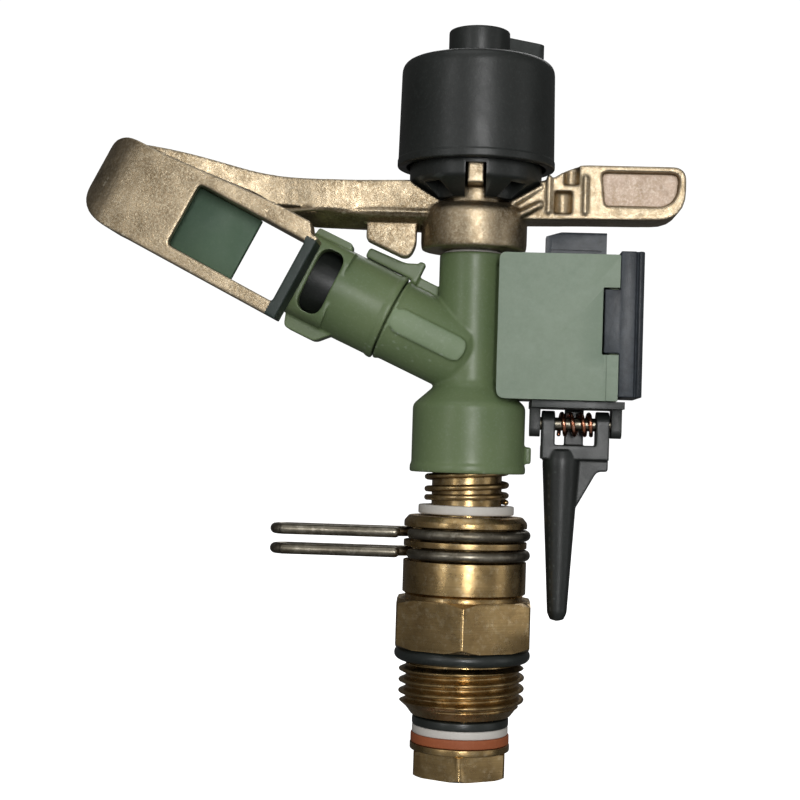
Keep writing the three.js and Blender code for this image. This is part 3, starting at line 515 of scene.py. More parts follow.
def screw_thread(radius: float, depth: float, pitch: float, low: float, high: float) -> Solid:
    """A right-hand thread with rounded roots and crests, a turn longer than needed at each end.

    Args:
        radius: Over the crests.
        depth: From crest to root.
        pitch: From one crest to the next.
        low: Where the threaded length starts.
        high: Where it ends.

    Returns:
        The solid.
    """
    lifts = [0, 0.0, 0.1, 0.36, 0.66, 0.92, 1.0, 1.0, 0.9, 0.62, 0.32, 0.08]
    sides = 96
    turns = math.ceil((high - low) / pitch) + 2
    per = len(lifts)
    rows = turns * per
    points: list[Sequence[float]] = []
    for i in range(sides):
        share = i / sides
        for j in range(rows + 1):
            size = radius - depth * (1 - lifts[j % per])
            level = low - 2 * pitch + pitch * (j / per + share)
            angle = 2 * math.pi * share
            points.append((size * math.cos(angle), size * math.sin(angle), level))
    foot = len(points)
    points += [(0, 0, low - pitch), (0, 0, low + (turns - 1) * pitch)]

    def at(i: int, j: int) -> int:
        """Number of the vertex in column i and row j."""
        return j + per if i == sides else i * (rows + 1) + j

    faces: list[list[int]] = []
    for i in range(sides):
        last = rows - per if i == sides - 1 else rows
        for j in range(last):
            faces.append([at(i, j), at(i + 1, j), at(i + 1, j + 1), at(i, j + 1)])
        faces.append([foot, at(i + 1, 0), at(i, 0)])
        faces.append([foot + 1, at(i, last), at(i + 1, last)])
    for j in range(per):
        faces.append([foot, at(0, j), at(0, j + 1)])
        faces.append([foot + 1, at(sides - 1, rows - j), at(sides - 1, rows - j - 1)])
    return Solid.of(points, faces)


def along_x(x: float = 0.0, y: float = 0.0, z: float = 0.0) -> Matrix:
    """Lays a piece made about Z along X, with its foot at a place."""
    return Matrix.Translation((x, y, z)) @ Matrix.Rotation(math.radians(90), 4, "Y")


def inclined(tilt: float, level: float) -> Matrix:
    """Lays a piece made about Z along an axis that rises towards -X.

    Args:
        tilt: The axis's angle above level, in degrees.
        level: Where it meets the spin axis.

    Returns:
        The move.
    """
    return Matrix.Translation((0, 0, level)) @ Matrix.Rotation(math.radians(tilt - 90), 4, "Y")


@dataclass
class Span:
    """A CAD node's box, in millimetres."""

    low: Vector
    high: Vector

    @classmethod
    def of(cls, node: str) -> "Span":
        """Reads the box of a node."""
        low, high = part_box(node)
        return cls(low / MM, high / MM)


# ------------------------------------------------------------------------------ finishes


def linear(colour: Colour) -> tuple[float, float, float, float]:
    """A screen colour, 0 to 255, as the light it stands for."""
    made = []
    for part in colour:
        share = part / 255
        made.append(share / 12.92 if share <= 0.04045 else ((share + 0.055) / 1.055) ** 2.4)
    return (made[0], made[1], made[2], 1.0)


class Paint:
    """Nodes of one material, laid out as they are added."""

    def __init__(self, name: str) -> None:
        """Starts a material with its shader and the place on the piece."""
        self.material = bpy.data.materials.new(name)
        self.material.use_nodes = True
        self.tree = self.material.node_tree
        self.tree.nodes.clear()
        self.output = self.tree.nodes.new("ShaderNodeOutputMaterial")
        self.shader = self.tree.nodes.new("ShaderNodeBsdfPrincipled")
        self.tree.links.new(self.shader.outputs[0], self.output.inputs[0])
        self.place = self.tree.nodes.new("ShaderNodeTexCoord").outputs["Object"]

    def link(self, source: bpy.types.NodeSocket, target: bpy.types.NodeSocket) -> None:
        """Joins two sockets."""
        self.tree.links.new(source, target)

    def stretched(self, x: float, y: float, z: float) -> bpy.types.NodeSocket:
        """The place on the piece, in cells along each axis.

        Args:
            x: Cells in a millimetre along X.
            y: The same along Y.
            z: The same along Z.

        Returns:
            The socket.
        """
        node = self.tree.nodes.new("ShaderNodeMapping")
        node.inputs["Scale"].default_value = (x / MM, y / MM, z / MM)
        self.link(self.place, node.inputs["Vector"])
        return node.outputs[0]

    def noise(
        self,
        cells: float,
        detail: float = 3.0,
        rough: float = 0.55,
        place: bpy.types.NodeSocket | None = None,
    ) -> bpy.types.NodeSocket:
        """Noise over the piece.

        Args:
            cells: Cells in a millimetre, or in a unit of place where it is given.
            detail: Octaves of finer noise.
            rough: Weight of the finer ones.
            place: Another place to read it at.

        Returns:
            Its value, 0 to 1.
        """
        node = self.tree.nodes.new("ShaderNodeTexNoise")
        node.inputs["Scale"].default_value = cells if place else cells / MM
        node.inputs["Detail"].default_value = detail
        node.inputs["Roughness"].default_value = rough
        self.link(place or self.place, node.inputs["Vector"])
        return node.outputs["Fac"]

    def specks(self, cells: float) -> bpy.types.NodeSocket:
        """Distance from scattered points, cells of them in a millimetre."""
        node = self.tree.nodes.new("ShaderNodeTexVoronoi")
        node.inputs["Scale"].default_value = cells / MM
        self.link(self.place, node.inputs["Vector"])
        return node.outputs["Distance"]

    def ranged(
        self, value: bpy.types.NodeSocket, low: float, high: float, out_low: float, out_high: float
    ) -> bpy.types.NodeSocket:
        """A value carried from one range to another, and held inside it.

        Args:
            value: The value.
            low: Start of its range.
            high: End of its range.
            out_low: What the start becomes.
            out_high: What the end becomes.

        Returns:
            The socket.
        """
        node = self.tree.nodes.new("ShaderNodeMapRange")
        self.link(value, node.inputs["Value"])
        for key, number in (
            ("From Min", low), ("From Max", high), ("To Min", out_low), ("To Max", out_high),
        ):
            node.inputs[key].default_value = number
        return node.outputs[0]

    def combined(
        self, first: bpy.types.NodeSocket, second: bpy.types.NodeSocket | float, how: str
    ) -> bpy.types.NodeSocket:
        """Two values put together.

        Args:
            first: A socket.
            second: A socket or a number.
            how: The sum to do, such as ADD or MULTIPLY.

        Returns:
            The result.
        """
        node = self.tree.nodes.new("ShaderNodeMath")
        node.operation = how
        self.link(first, node.inputs[0])
        if isinstance(second, (int, float)):
            node.inputs[1].default_value = second
        else:
            self.link(second, node.inputs[1])
        return node.outputs[0]

    def mixed(
        self,
        share: bpy.types.NodeSocket,
        under: bpy.types.NodeSocket | Colour,
        over: bpy.types.NodeSocket | Colour,
    ) -> bpy.types.NodeSocket:
        """One colour laid over another.

        Args:
            share: How much of the upper one shows.
            under: The lower colour.
            over: The upper colour.

        Returns:
            The result.
        """
        node = self.tree.nodes.new("ShaderNodeMix")
        node.data_type = "RGBA"
        self.link(share, node.inputs[0])
        for socket, colour in ((node.inputs[6], under), (node.inputs[7], over)):
            if isinstance(colour, tuple):
                socket.default_value = linear(colour)
            else:
                self.link(colour, socket)
        return node.outputs[2]

    def worn(self, start: float, end: float) -> bpy.types.NodeSocket:
        """How far a spot is an outer edge, from its shape."""
        node = self.tree.nodes.new("ShaderNodeNewGeometry")
        return self.ranged(node.outputs["Pointiness"], start, end, 0.0, 1.0)

    def relief(
        self, height: bpy.types.NodeSocket, depth: float, under: bpy.types.NodeSocket | None = None
    ) -> bpy.types.NodeSocket:
        """Fine relief.

        Args:
            height: Its height, 0 to 1.
            depth: What a height of 1 stands for, in millimetres.
            under: Coarser relief below it.

        Returns:
            The surface direction.
        """
        node = self.tree.nodes.new("ShaderNodeBump")
        node.inputs["Strength"].default_value = 1.0
        node.inputs["Distance"].default_value = depth * MM
        self.link(height, node.inputs["Height"])
        if under is not None:
            self.link(under, node.inputs["Normal"])
        return node.outputs[0]

    def finished(
        self,
        colour: bpy.types.NodeSocket,
        roughness: bpy.types.NodeSocket,
        normal: bpy.types.NodeSocket,
    ) -> bpy.types.Material:
        """Joins the results to the shader and gives the material."""
        self.link(colour, self.shader.inputs["Base Color"])
        self.link(roughness, self.shader.inputs["Roughness"])
        self.link(normal, self.shader.inputs["Normal"])
        return self.material


@dataclass(frozen=True)
class CastMetal:
    """Blasted cast metal with random darker patches, painted shade in its hollows, and rubbed
    edges.
    """

    name: str
    base: Colour
    # darker colour of the random patches, also used as the painted shade in hollows
    dull_and_shade: Colour
    rubbed: Colour
    rough: Pair = (0.34, 0.5)
    grain: float = 3.4
    depth: float = 0.03

    def made(self) -> bpy.types.Material:
        """Builds the material."""
        paint = Paint(self.name)
        patches = paint.ranged(paint.noise(0.16, 4.0, 0.6), 0.36, 0.66, 0.0, 0.85)
        mottle = paint.ranged(paint.noise(2.2, 4.0, 0.7), 0.44, 0.66, 0.0, 0.55)
        colour = paint.mixed(patches, self.base, self.dull_and_shade)
        colour = paint.mixed(mottle, colour, self.rubbed)
        # painted shade: concave hollows, found by pointiness, are darkened as if they lay in shade
        colour = paint.mixed(paint.worn(0.5, 0.44), colour, self.dull_and_shade)
        colour = paint.mixed(paint.worn(0.515, 0.58), colour, self.rubbed)
        grains = paint.noise(self.grain, 3.0, 0.7)
        waves = paint.noise(0.7, 3.0, 0.6)
        pits = paint.ranged(paint.specks(2.2), 0.0, 0.34, 0.0, 1.0)
        normal = paint.relief(waves, self.depth * 2.2)
        normal = paint.relief(pits, self.depth * 0.4, normal)
        normal = paint.relief(grains, self.depth, normal)
        rough = paint.ranged(paint.noise(0.7, 4.0, 0.6), 0.3, 0.7, self.rough[0], self.rough[1])
        paint.shader.inputs["Metallic"].default_value = 1.0
        return paint.finished(colour, rough, normal)


@dataclass(frozen=True)
class TurnedMetal:
    """Machined metal with fine turning rings, stains and bright spots."""

    name: str
    base: Colour
    stain: Colour
    bright: Colour
    rough: Pair = (0.2, 0.4)
    rings: float = 9.0
    depth: float = 0.006
    stained: float = 0.8

    def made(self) -> bpy.types.Material:
        """Builds the material."""
        paint = Paint(self.name)
        stains = paint.ranged(paint.noise(0.22, 5.0, 0.62), 0.42, 0.68, 0.0, self.stained)
        glints = paint.ranged(paint.noise(0.9, 4.0, 0.7), 0.5, 0.72, 0.0, 0.6)
        around = paint.noise(1.0, 3.0, 0.7, paint.stretched(0.05, 0.05, self.rings))
        colour = paint.mixed(stains, self.base, self.stain)
        colour = paint.mixed(glints, colour, self.bright)
        streaks = paint.ranged(around, 0.35, 0.7, 0.0, 0.35)
        colour = paint.mixed(streaks, colour, self.stain)
        normal = paint.relief(around, self.depth)
        normal = paint.relief(paint.noise(3.0, 4.0, 0.7), self.depth, normal)
        rough = paint.ranged(paint.noise(0.5, 5.0, 0.65), 0.3, 0.72, self.rough[0], self.rough[1])
        paint.shader.inputs["Metallic"].default_value = 1.0
        return paint.finished(colour, rough, normal)


@dataclass(frozen=True)
class Moulded:
    """Moulded plastic or rubber with a faint skin texture, scuffs and paler rubbed edges."""

    name: str
    base: Colour
    shade: Colour
    rubbed: Colour
    rough: Pair = (0.38, 0.55)
    skin: float = 2.6
    depth: float = 0.008
    specular: float = 0.45
    edge: Pair = (0.53, 0.62)

    def made(self) -> bpy.types.Material:
        """Builds the material."""
        paint = Paint(self.name)
        cloud = paint.ranged(paint.noise(0.09, 3.0, 0.5), 0.34, 0.68, 0.0, 1.0)
        fleck = paint.ranged(paint.noise(2.0, 5.0, 0.7), 0.52, 0.74, 0.0, 0.3)
        colour = paint.mixed(cloud, self.base, self.shade)
        colour = paint.mixed(fleck, colour, self.rubbed)
        edges = paint.combined(paint.worn(*self.edge), paint.noise(0.8, 4.0, 0.7), "MULTIPLY")
        colour = paint.mixed(edges, colour, self.rubbed)
        normal = paint.relief(paint.noise(self.skin * 0.16, 2.0, 0.5), self.depth * 3)
        normal = paint.relief(paint.noise(self.skin, 3.0, 0.6), self.depth, normal)
        rough = paint.ranged(paint.noise(0.35, 5.0, 0.7), 0.3, 0.72, self.rough[0], self.rough[1])
        paint.shader.inputs["Specular IOR Level"].default_value = self.specular
        return paint.finished(colour, rough, normal)


class Finish(Enum):
    """The sprinkler's finishes: each one's recipe and the record's material slot."""

    CAST_BRASS = (
        CastMetal("blasted_brass", (176, 158, 130), (112, 96, 72), (204, 192, 168)),
        "cast_brass",
    )
    # rougher blasted recess; its near-white colour is a painted highlight of the light on that face
    TAIL_PANEL = (
        CastMetal(
            "blasted_panel_highlight", (236, 216, 200), (200, 178, 154), (250, 240, 230),
            rough=(0.6, 0.75), grain=3.0, depth=0.06,
        ),
        "cast_brass",
    )
    TURNED_BRASS = (
        TurnedMetal(
            "lathe_brass", (188, 160, 112), (110, 84, 50), (226, 206, 166), stained=0.5,
        ),
        "turned_brass",
    )
    WIRE = (
        TurnedMetal(
            "spring_wire", (142, 136, 122), (84, 76, 62), (200, 194, 178),
            rough=(0.26, 0.46), rings=2.0, depth=0.004,
        ),
        "spring_steel",
    )
    COPPER = (
        TurnedMetal(
            "copper_spring", (206, 138, 108), (122, 72, 50), (250, 206, 184),
            rough=(0.18, 0.34), rings=3.0, depth=0.003,
        ),
        "copper_wire",
    )
    GREEN = (
        Moulded("green_body", (110, 126, 88), (99, 117, 80), (138, 152, 128), rough=(0.32, 0.44)),
        "green_plastic",
    )
    # painted shade: a dark sheet for the window's near end, where the brass lies in shade
    GUARD = (
        Moulded("painted_window_end_shade", (44, 56, 50), (34, 46, 42), (70, 86, 78), rough=(0.45, 0.6)),
        "cast_brass",
    )
    PLAQUE = (
        Moulded("green_plaque", (128, 146, 112), (118, 136, 104), (160, 172, 156),
                rough=(0.45, 0.6)),
        "green_plastic",
    )
    COVER = (
        Moulded(
            "green_cover", (128, 144, 124), (120, 137, 119), (146, 160, 142), rough=(0.5, 0.64),
        ),
        "cover_plastic",
    )
    LINER = (
        Moulded("green_liner", (76, 102, 78), (68, 95, 74), (96, 120, 98), rough=(0.5, 0.66)),
        "liner_plastic",
    )
    BLACK = (
        Moulded(
            "black_moulding", (36, 39, 37), (28, 31, 29), (70, 74, 72), rough=(0.34, 0.46),
            skin=3.4, depth=0.012, specular=0.5,
        ),
        "black_plastic",
    )
    SLATE = (
        Moulded(
            "slate_moulding", (34, 38, 43), (25, 29, 34), (78, 84, 90), rough=(0.32, 0.44),
            skin=3.4, depth=0.016, specular=0.3,
        ),
        "black_plastic",
    )
    WHITE = (
        Moulded("white_moulding", (214, 210, 203), (200, 196, 188), (230, 228, 222)),
        "white_plastic",
    )
    FIBRE = (
        Moulded(
            "pressed_fibre", (166, 92, 54), (146, 76, 42), (190, 122, 84), rough=(0.55, 0.75),
            skin=4.0, depth=0.02,
        ),
        "fibre",
    )
    RUBBER = (
        Moulded(
            "moulded_rubber", (36, 41, 38), (28, 32, 30), (66, 72, 68), rough=(0.28, 0.4), skin=3.0,
            specular=0.6,
        ),
        "rubber",
    )

    def material(self) -> bpy.types.Material:
        """The finish's material, built the first time it is asked for."""
        recipe = self.value[0]
        return bpy.data.materials.get(recipe.name) or recipe.made()

    @property
    def slot(self) -> str:
        """The record's material slot."""
        return self.value[1]


def set_down(
    name: str, solid: Solid, finish: Finish, body: str, *stands_for: str, crease: float = 38.0
) -> bpy.types.Object:
    """Sets a finished piece down in the frame.

    Args:
        name: The piece's name.
        solid: Its shape, in millimetres.
        finish: Its finish.
        body: The body that it moves with.
        stands_for: The CAD nodes that it stands for.
        crease: Edges that turn by more than this many degrees stay sharp.

    Returns:
        The piece.
    """
    mesh = solid.mesh.copy()
    mesh.name = name
    mesh.transform(Matrix.Scale(MM, 4))
    mesh.polygons.foreach_set("use_smooth", [True] * len(mesh.polygons))
    mesh.set_sharp_from_angle(angle=math.radians(crease))
    mesh.materials.clear()
    mesh.materials.append(finish.material())
    piece = bpy.data.objects.new(name, mesh)
    bpy.context.scene.collection.objects.link(piece)
    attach(piece, body)
    if stands_for:
        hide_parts(*stands_for)
    LOG.info("%s: %d faces on %s", name, len(mesh.polygons), body)
    return piece


# ------------------------------------------------------------------------------ inlet


@dataclass
class Inlet:
    """The threaded nipple, its seal ring, the trip collars, and the bearing of the turning stem."""

    nipple: Span = field(default_factory=lambda: Span.of("inlet_nipple"))
    stem: Span = field(default_factory=lambda: Span.of("bearing_stem"))
    thread_radius: float = 10.48
    thread_depth: float = 1.16
    pitch: float = 1.814
    thread_low: float = -10.0
    neck_low: float = -2.6
    neck_radius: float = 9.1
    hex_flats: float = 22.0
    hex_height: float = 8.1
    sleeve_radius: float = 10.3
    stem_radius: float = 5.85
    bore_gap: float = 0.3
    water_radius: float = 4.1
    wire: float = 1.8
    collar_proud: float = 0.6
    reach: float = 32.8
    spread: float = 4.4

    def ring_radius(self) -> float:
        """Radius of a collar's centre line."""
        return self.sleeve_radius + self.collar_proud - self.wire / 2

    def collar_level(self, node: str) -> float:
        """Level of a collar's centre line."""
        span = Span.of(node)
        return (span.low.z + span.high.z) / 2

    def nipple_solid(self) -> Solid:
        """Thread, neck, hexagon and sleeve with the collars' grooves."""
        low, top = self.nipple.low.z, self.nipple.high.z
        root = self.thread_radius - self.thread_depth
        blank = Solid.turned(
            [(0, low), (root - 1.05, low, 0.2), (root - 0.15, self.thread_low),
             (self.thread_radius + 0.05, self.thread_low + self.thread_depth),
             (self.thread_radius + 0.05, self.neck_low - 0.7), (root, self.neck_low),
             (0, self.neck_low)],
            sides=96,
        )
        thread = screw_thread(self.thread_radius, self.thread_depth, self.pitch, low, self.neck_low)
        lead = Solid.rod(root - 1.05, low, self.thread_low + 1, sides=96, edge=0.25)
        neck = Solid.rod(self.neck_radius, self.neck_low - 1.2, 0.5, sides=96)
        sleeve = [(0, self.hex_height - 0.5), (self.sleeve_radius - 0.5, self.hex_height - 0.5),
                  (self.sleeve_radius - 0.5, self.hex_height + 0.7, 0.2),
                  (self.sleeve_radius, self.hex_height + 1.0, 0.1)]
        half = self.wire / 2 + 0.25
        seat = self.ring_radius() - half
        for node in ("trip_collar_lower", "trip_collar_upper"):
            level = self.collar_level(node)
            sleeve += [(self.sleeve_radius, level - half, 0.12), (seat, level - half, 0.25),
                       (seat, level + half, 0.25), (self.sleeve_radius, level + half, 0.12)]
        sleeve += [(self.sleeve_radius, top - 0.95, 0.25), (self.sleeve_radius - 0.8, top, 0.2),
                   (0, top)]
        hex_part = hexagon(self.hex_flats, 0.0, self.hex_height, 1.3)
        bore = Solid.rod(self.stem_radius + self.bore_gap, low - 1, top + 1)
        whole = thread.common(blank).plus(lead, neck, hex_part, Solid.turned(sleeve, sides=96))
        return whole.minus(bore)

    def seal_ring(self) -> Solid:
        """The rubber ring under the hexagon."""
        span = Span.of("inlet_seal_ring")
        radius = (span.high.z - span.low.z) / 2
        centre = (span.high.x - radius, (span.high.z + span.low.z) / 2)
        ring = circle_points(centre, radius, 0, 360, 20)
        ring[-1] = ring[0]
        return Solid.turned(ring, sides=120)

    def collar(self, node: str) -> Solid:
        """One sprung wire clip, by the CAD node that it stands for."""
        level = self.collar_level(node)
        ring = self.ring_radius()
        half = self.spread / 2
        bend = self.reach - self.wire / 2 - half
        mouth = math.degrees(math.asin(half / ring))
        kink = ring + 2.4
        plan = [(-kink + 0.7, -half), (-kink - 1.6, -half), (-(kink + bend) / 2, -half + 0.15)]
        plan += circle_points((-bend, 0), half, 270, 90, 8)
        plan += [(-(kink + bend) / 2, half - 0.15), (-kink - 1.6, half), (-kink + 0.5, half * 0.96)]
        plan += circle_points((0, 0), ring, 180 - mouth - 7, -180 + mouth + 17, 30)
        path = [(x, y, level) for x, y in plan]
        return Solid.wire(flowing(path, 6), self.wire / 2, sides=18)

    def stem_solid(self) -> Solid:
        """The turning tube with its flange and hexagonal end."""
        low, high = self.stem.low.z, self.stem.high.z
        flange_top = Span.of("washer_fibre").low.z - 0.05
        flange_low = flange_top - 0.9
        hex_part = hexagon(15.0, low, flange_low, 0.8)
        flange = Solid.rod(8.3, flange_low - 0.25, flange_top, sides=96, edge=0.25)
        shank = Solid.rod(self.stem_radius, flange_top - 0.3, high, sides=96)
        bore = Solid.rod(self.water_radius, low - 1, high + 1)
        mouth = Solid.turned(
            [(0, low - 1), (self.water_radius + 1.5, low - 1), (self.water_radius, low + 0.5),
             (0, low + 0.5)],
        )
        return hex_part.plus(flange, shank).minus(bore, mouth)

    def build(self) -> None:
        """Builds and dresses the sub-assembly."""
        set_down("nipple_brass", self.nipple_solid().broken(0.09, 2, 28), Finish.TURNED_BRASS,
                 "inlet", "inlet_nipple", crease=30)
        set_down("nipple_seal", self.seal_ring(), Finish.RUBBER, "inlet", "inlet_seal_ring")
        for place in ("upper", "lower"):
            node = f"trip_collar_{place}"
            set_down(f"collar_wire_{place}", self.collar(node), Finish.WIRE,
                     f"collar_{place}", node, crease=60)
        set_down("stem_brass", self.stem_solid().broken(0.12, 2, 28), Finish.TURNED_BRASS,
                 "rotor", "bearing_stem", crease=30)
        self.washers()
        self.spring()

    def washers(self) -> None:
        """Builds the bearing's washers."""
        kinds = {
            "washer_rubber": (Finish.RUBBER, 0.35),
            "washer_plastic": (Finish.WHITE, 0.3),
            "washer_fibre": (Finish.FIBRE, 0.22),
            "washer_upper": (Finish.WHITE, 0.3),
        }
        for node, (finish, edge) in kinds.items():
            span = Span.of(node)
            ring = Solid.tube(span.high.x, self.stem_radius + 0.05, span.low.z, span.high.z,
                              sides=96, edge=edge)
            set_down(f"{node}_ring", ring, finish, "rotor", node)

    def spring(self) -> None:
        """Builds the bearing spring round the stem."""
        span = Span.of("bearing_spring")
        radius = 0.5
        line = helix(span.high.x - radius, span.low.z + radius, span.high.z - radius, 5.2, 40)
        set_down("bearing_coil", Solid.wire(line, radius), Finish.TURNED_BRASS, "rotor",
                 "bearing_spring", crease=60)


# ------------------------------------------------------------------------------ body


@dataclass
class Body:
    """The moulded body with its nozzle branch, and the nozzle under its bayonet nut."""

    body: Span = field(default_factory=lambda: Span.of("sprinkler_body"))
    barrel_top: float = field(default_factory=lambda: Span.of("thrust_washer").low.z)
    skirt_radius: float = 9.45
    skirt_height: float = 11.3
    shoulder_height: float = 3.4
    barrel_radius: float = 5.65
    rise: float = 19.2
    tilt: float = 25.0
    branch_radius: float = 6.85
    branch_length: float = 15.0
    spigot_radius: float = 5.5
    nozzle_seat: float = 22.0
    water_radius: float = 4.1
    nut_radius: float = 7.35
    nut_start: float = 15.2
    head_start: float = 25.2
    nut_end: float = 32.8
    head_half: float = 6.95
    nut_bore: float = 5.8
    wing: float = 1.9
    tip_radius: float = 3.6

    @property
    def level(self) -> float:
        """Where the nozzle axis meets the spin axis."""
        return self.body.low.z + self.rise

    def upright(self) -> Solid:
        """Skirt, shoulder and barrel."""
        low = self.body.low.z
        skirt = low + self.skirt_height
        shoulder = skirt + self.shoulder_height
        bead = self.skirt_radius + 0.25
        return Solid.turned(
            [(0, low), (bead, low, 0.3), (bead, low + 1.2, 0.3), (self.skirt_radius, low + 1.6),
             (self.skirt_radius, skirt, 0.7), (self.barrel_radius, shoulder, 1.2),
             (self.barrel_radius, self.barrel_top, 0.4), (0, self.barrel_top)],
            sides=96,
        )

    def plaque(self) -> Solid:
        """The blank raised pad on the branch's front."""
        half, start, end = 2.1, 1.2, 14.4
        pad = Solid.slab(
            [(-half, start, 2.0), (half, start, 2.0), (half, end, 2.0), (-half, end, 2.0)],
            Axis.Y, -self.branch_radius - 0.6, -1.0, steps=8,
        )
        return pad.common(Solid.rod(self.branch_radius + 0.42, 0, 16, sides=96))

    def branch(self) -> Solid:
        """The inclined branch with its spigot, rim bead, plaque and the arm's anvil."""
        length = self.branch_length
        tube = Solid.turned(
            [(0, -0.4), (self.branch_radius - 0.1, -0.4, 3.4),
             (self.branch_radius, length - 0.9, 0.2),
             (self.branch_radius + 0.3, length - 0.6, 0.2),
             (self.branch_radius + 0.3, length - 0.05, 0.2),
             (self.spigot_radius, length, 0.2), (self.spigot_radius, self.nozzle_seat, 0.3),
             (0, self.nozzle_seat)],
            sides=96,
        )
        near, far = 0.6, 3.6
        start = length - 1.1
        ledge = Solid.slab(
            [(self.nut_radius + 0.2, start), (self.nut_radius + 0.2, start + 9.8, 0.3),
             (9.3, start + 9.8, 0.6), (9.6, start + 3.2, 0.8), (11.0, start, 0.4)],
            Axis.Y, near, far,
        )
        post = Solid.block(self.branch_radius - 1.2, 11.0, near, far, start, length)
        rib = Solid.block(self.branch_radius - 1.2, self.nut_radius + 1.2, near + 0.7, far - 0.7,
                          start - 4.5, start + 0.5)
        return tube.plus(ledge, post, rib, self.plaque())

    def body_solid(self) -> Solid:
        """The whole moulding."""
        low = self.body.low.z
        frame_move = inclined(self.tilt, self.level)
        housing = Span.of("mechanism_housing")
        pad = Solid.block(0, housing.low.x - 0.05, -4.0, 4.0, housing.low.z + 2, housing.high.z - 2)
        nub = Solid.block(0, self.skirt_radius + 1.1, -1.2, 1.2, low + 1.8, low + 4.6)
        whole = self.upright().plus(self.branch().moved(frame_move), pad, nub)
        recess = Solid.rod(7.6, low - 1, low + 4.2)
        stem_top = Span.of("bearing_stem").high.z
        socket = Solid.rod(5.9, low, stem_top + 0.05)
        riser = Solid.rod(self.water_radius, low, self.level + self.water_radius * 0.6)
        water = Solid.rod(self.water_radius, 0, self.nozzle_seat + 1).moved(frame_move)
        pin = Solid.rod(2.45, self.barrel_top - 11, self.barrel_top + 1)
        return whole.minus(recess, socket, riser, water, pin)

    def dress_plaque(self, body: bpy.types.Object) -> None:
        """Gives the top of the blank plaque its paler finish."""
        body.data.materials.append(Finish.PLAQUE.material())
        back = inclined(self.tilt, self.level).inverted()
        for face in body.data.polygons:
            place = back @ (face.center / MM)
            if math.hypot(place.x, place.y) > self.branch_radius + 0.25 and place.y < 0:
                if abs(place.x) < 2.6 and 0.8 < place.z < 14.8:
                    face.material_index = 1

    def nut_solid(self) -> Solid:
        """The bayonet nut with its squarer head, side windows and grips."""
        half = self.head_half
        sleeve = Solid.turned(
            [(0, self.nut_start), (self.nut_radius + 0.12, self.nut_start, 0.25),
             (self.nut_radius + 0.12, self.nut_start + 0.9, 0.2),
             (self.nut_radius - 0.1, self.nut_start + 1.3),
             (self.nut_radius, self.head_start + 0.4), (0, self.head_start + 0.4)],
            sides=96,
        )
        head = Solid.slab(
            [(-half, -half, 3.6), (half, -half, 3.6), (half, half, 3.6), (-half, half, 3.6)],
            Axis.Z, self.head_start - 0.6, self.nut_end, steps=10,
        )
        top = self.head_start - 3
        lower = Solid.slab(
            [(-half + 0.4, top), (-half + 0.4, self.nut_end - 1.5),
             (-self.nut_radius - self.wing, self.nut_end - 2.4, 0.8),
             (-self.nut_radius - self.wing, top + 2.5, 0.8)],
            Axis.Y, -2.4, 2.4,
        )
        upper = Solid.slab(
            [(half - 1, self.head_start), (self.nut_radius + 0.9, self.head_start + 1, 0.4),
             (self.nut_radius + 0.9, self.nut_end - 0.4, 0.4), (half - 1, self.nut_end)],
            Axis.Y, -2.4, 2.4,
        )
        bore_end = self.head_start + 5.0
        bore = Solid.rod(self.nut_bore, self.nut_start - 1, bore_end)
        mouth = Solid.rod(self.tip_radius + 0.3, self.nut_start, self.nut_end + 1)
        middle = self.head_start + 0.4 + 2.1
        tall, wide = 5.6, 2.1
        window = Solid.slab(
            [(-tall, middle - wide, wide * 0.98), (tall, middle - wide, wide * 0.98),
             (tall, middle + wide, wide * 0.98), (-tall, middle + wide, wide * 0.98)],
            Axis.Y, -self.nut_radius - 1, self.nut_radius + 1, steps=10,
        )
        return sleeve.plus(head, lower, upper).minus(bore, mouth, window)

    def nozzle_solid(self) -> Solid:
        """The nozzle with its flange and tapered jet."""
        back = self.nozzle_seat + 0.95
        wide = self.nut_bore - 0.3
        shoulder = self.head_start + 5.0 - 0.05
        line = [(self.water_radius, back, 0.1), (wide, back, 0.2), (wide, back + 1.6, 0.2),
                (wide + 0.1, back + 1.7, 0.1), (wide + 0.15, shoulder, 0.15),
                (self.tip_radius, shoulder, 0.15), (self.tip_radius, self.nut_end - 0.6, 0.2),
                (self.tip_radius - 0.5, self.nut_end - 0.1, 0.2), (2.3, self.nut_end - 0.1, 0.2)]
        return Solid.turned([*line, line[0]], sides=72)

    def build(self) -> None:
        """Builds and dresses the sub-assembly."""
        move = inclined(self.tilt, self.level)
        body = set_down("body_moulding", self.body_solid().cast(0.22, 4), Finish.GREEN, "rotor",
                        "sprinkler_body", crease=60)
        self.dress_plaque(body)
        set_down("nut_moulding", self.nut_solid().cast(0.17, 4).moved(move), Finish.GREEN, "rotor",
                 "nozzle_nut", crease=60)
        set_down("nozzle_tip", self.nozzle_solid().moved(move), Finish.BLACK, "rotor", "nozzle")
        seal = Solid.tube(self.spigot_radius, self.water_radius + 0.05, self.nozzle_seat + 0.05,
                          self.nozzle_seat + 0.9, edge=0.2)
        set_down("nozzle_gasket", seal.moved(move), Finish.RUBBER, "rotor", "nozzle_seal")


# ------------------------------------------------------------------------------ arm


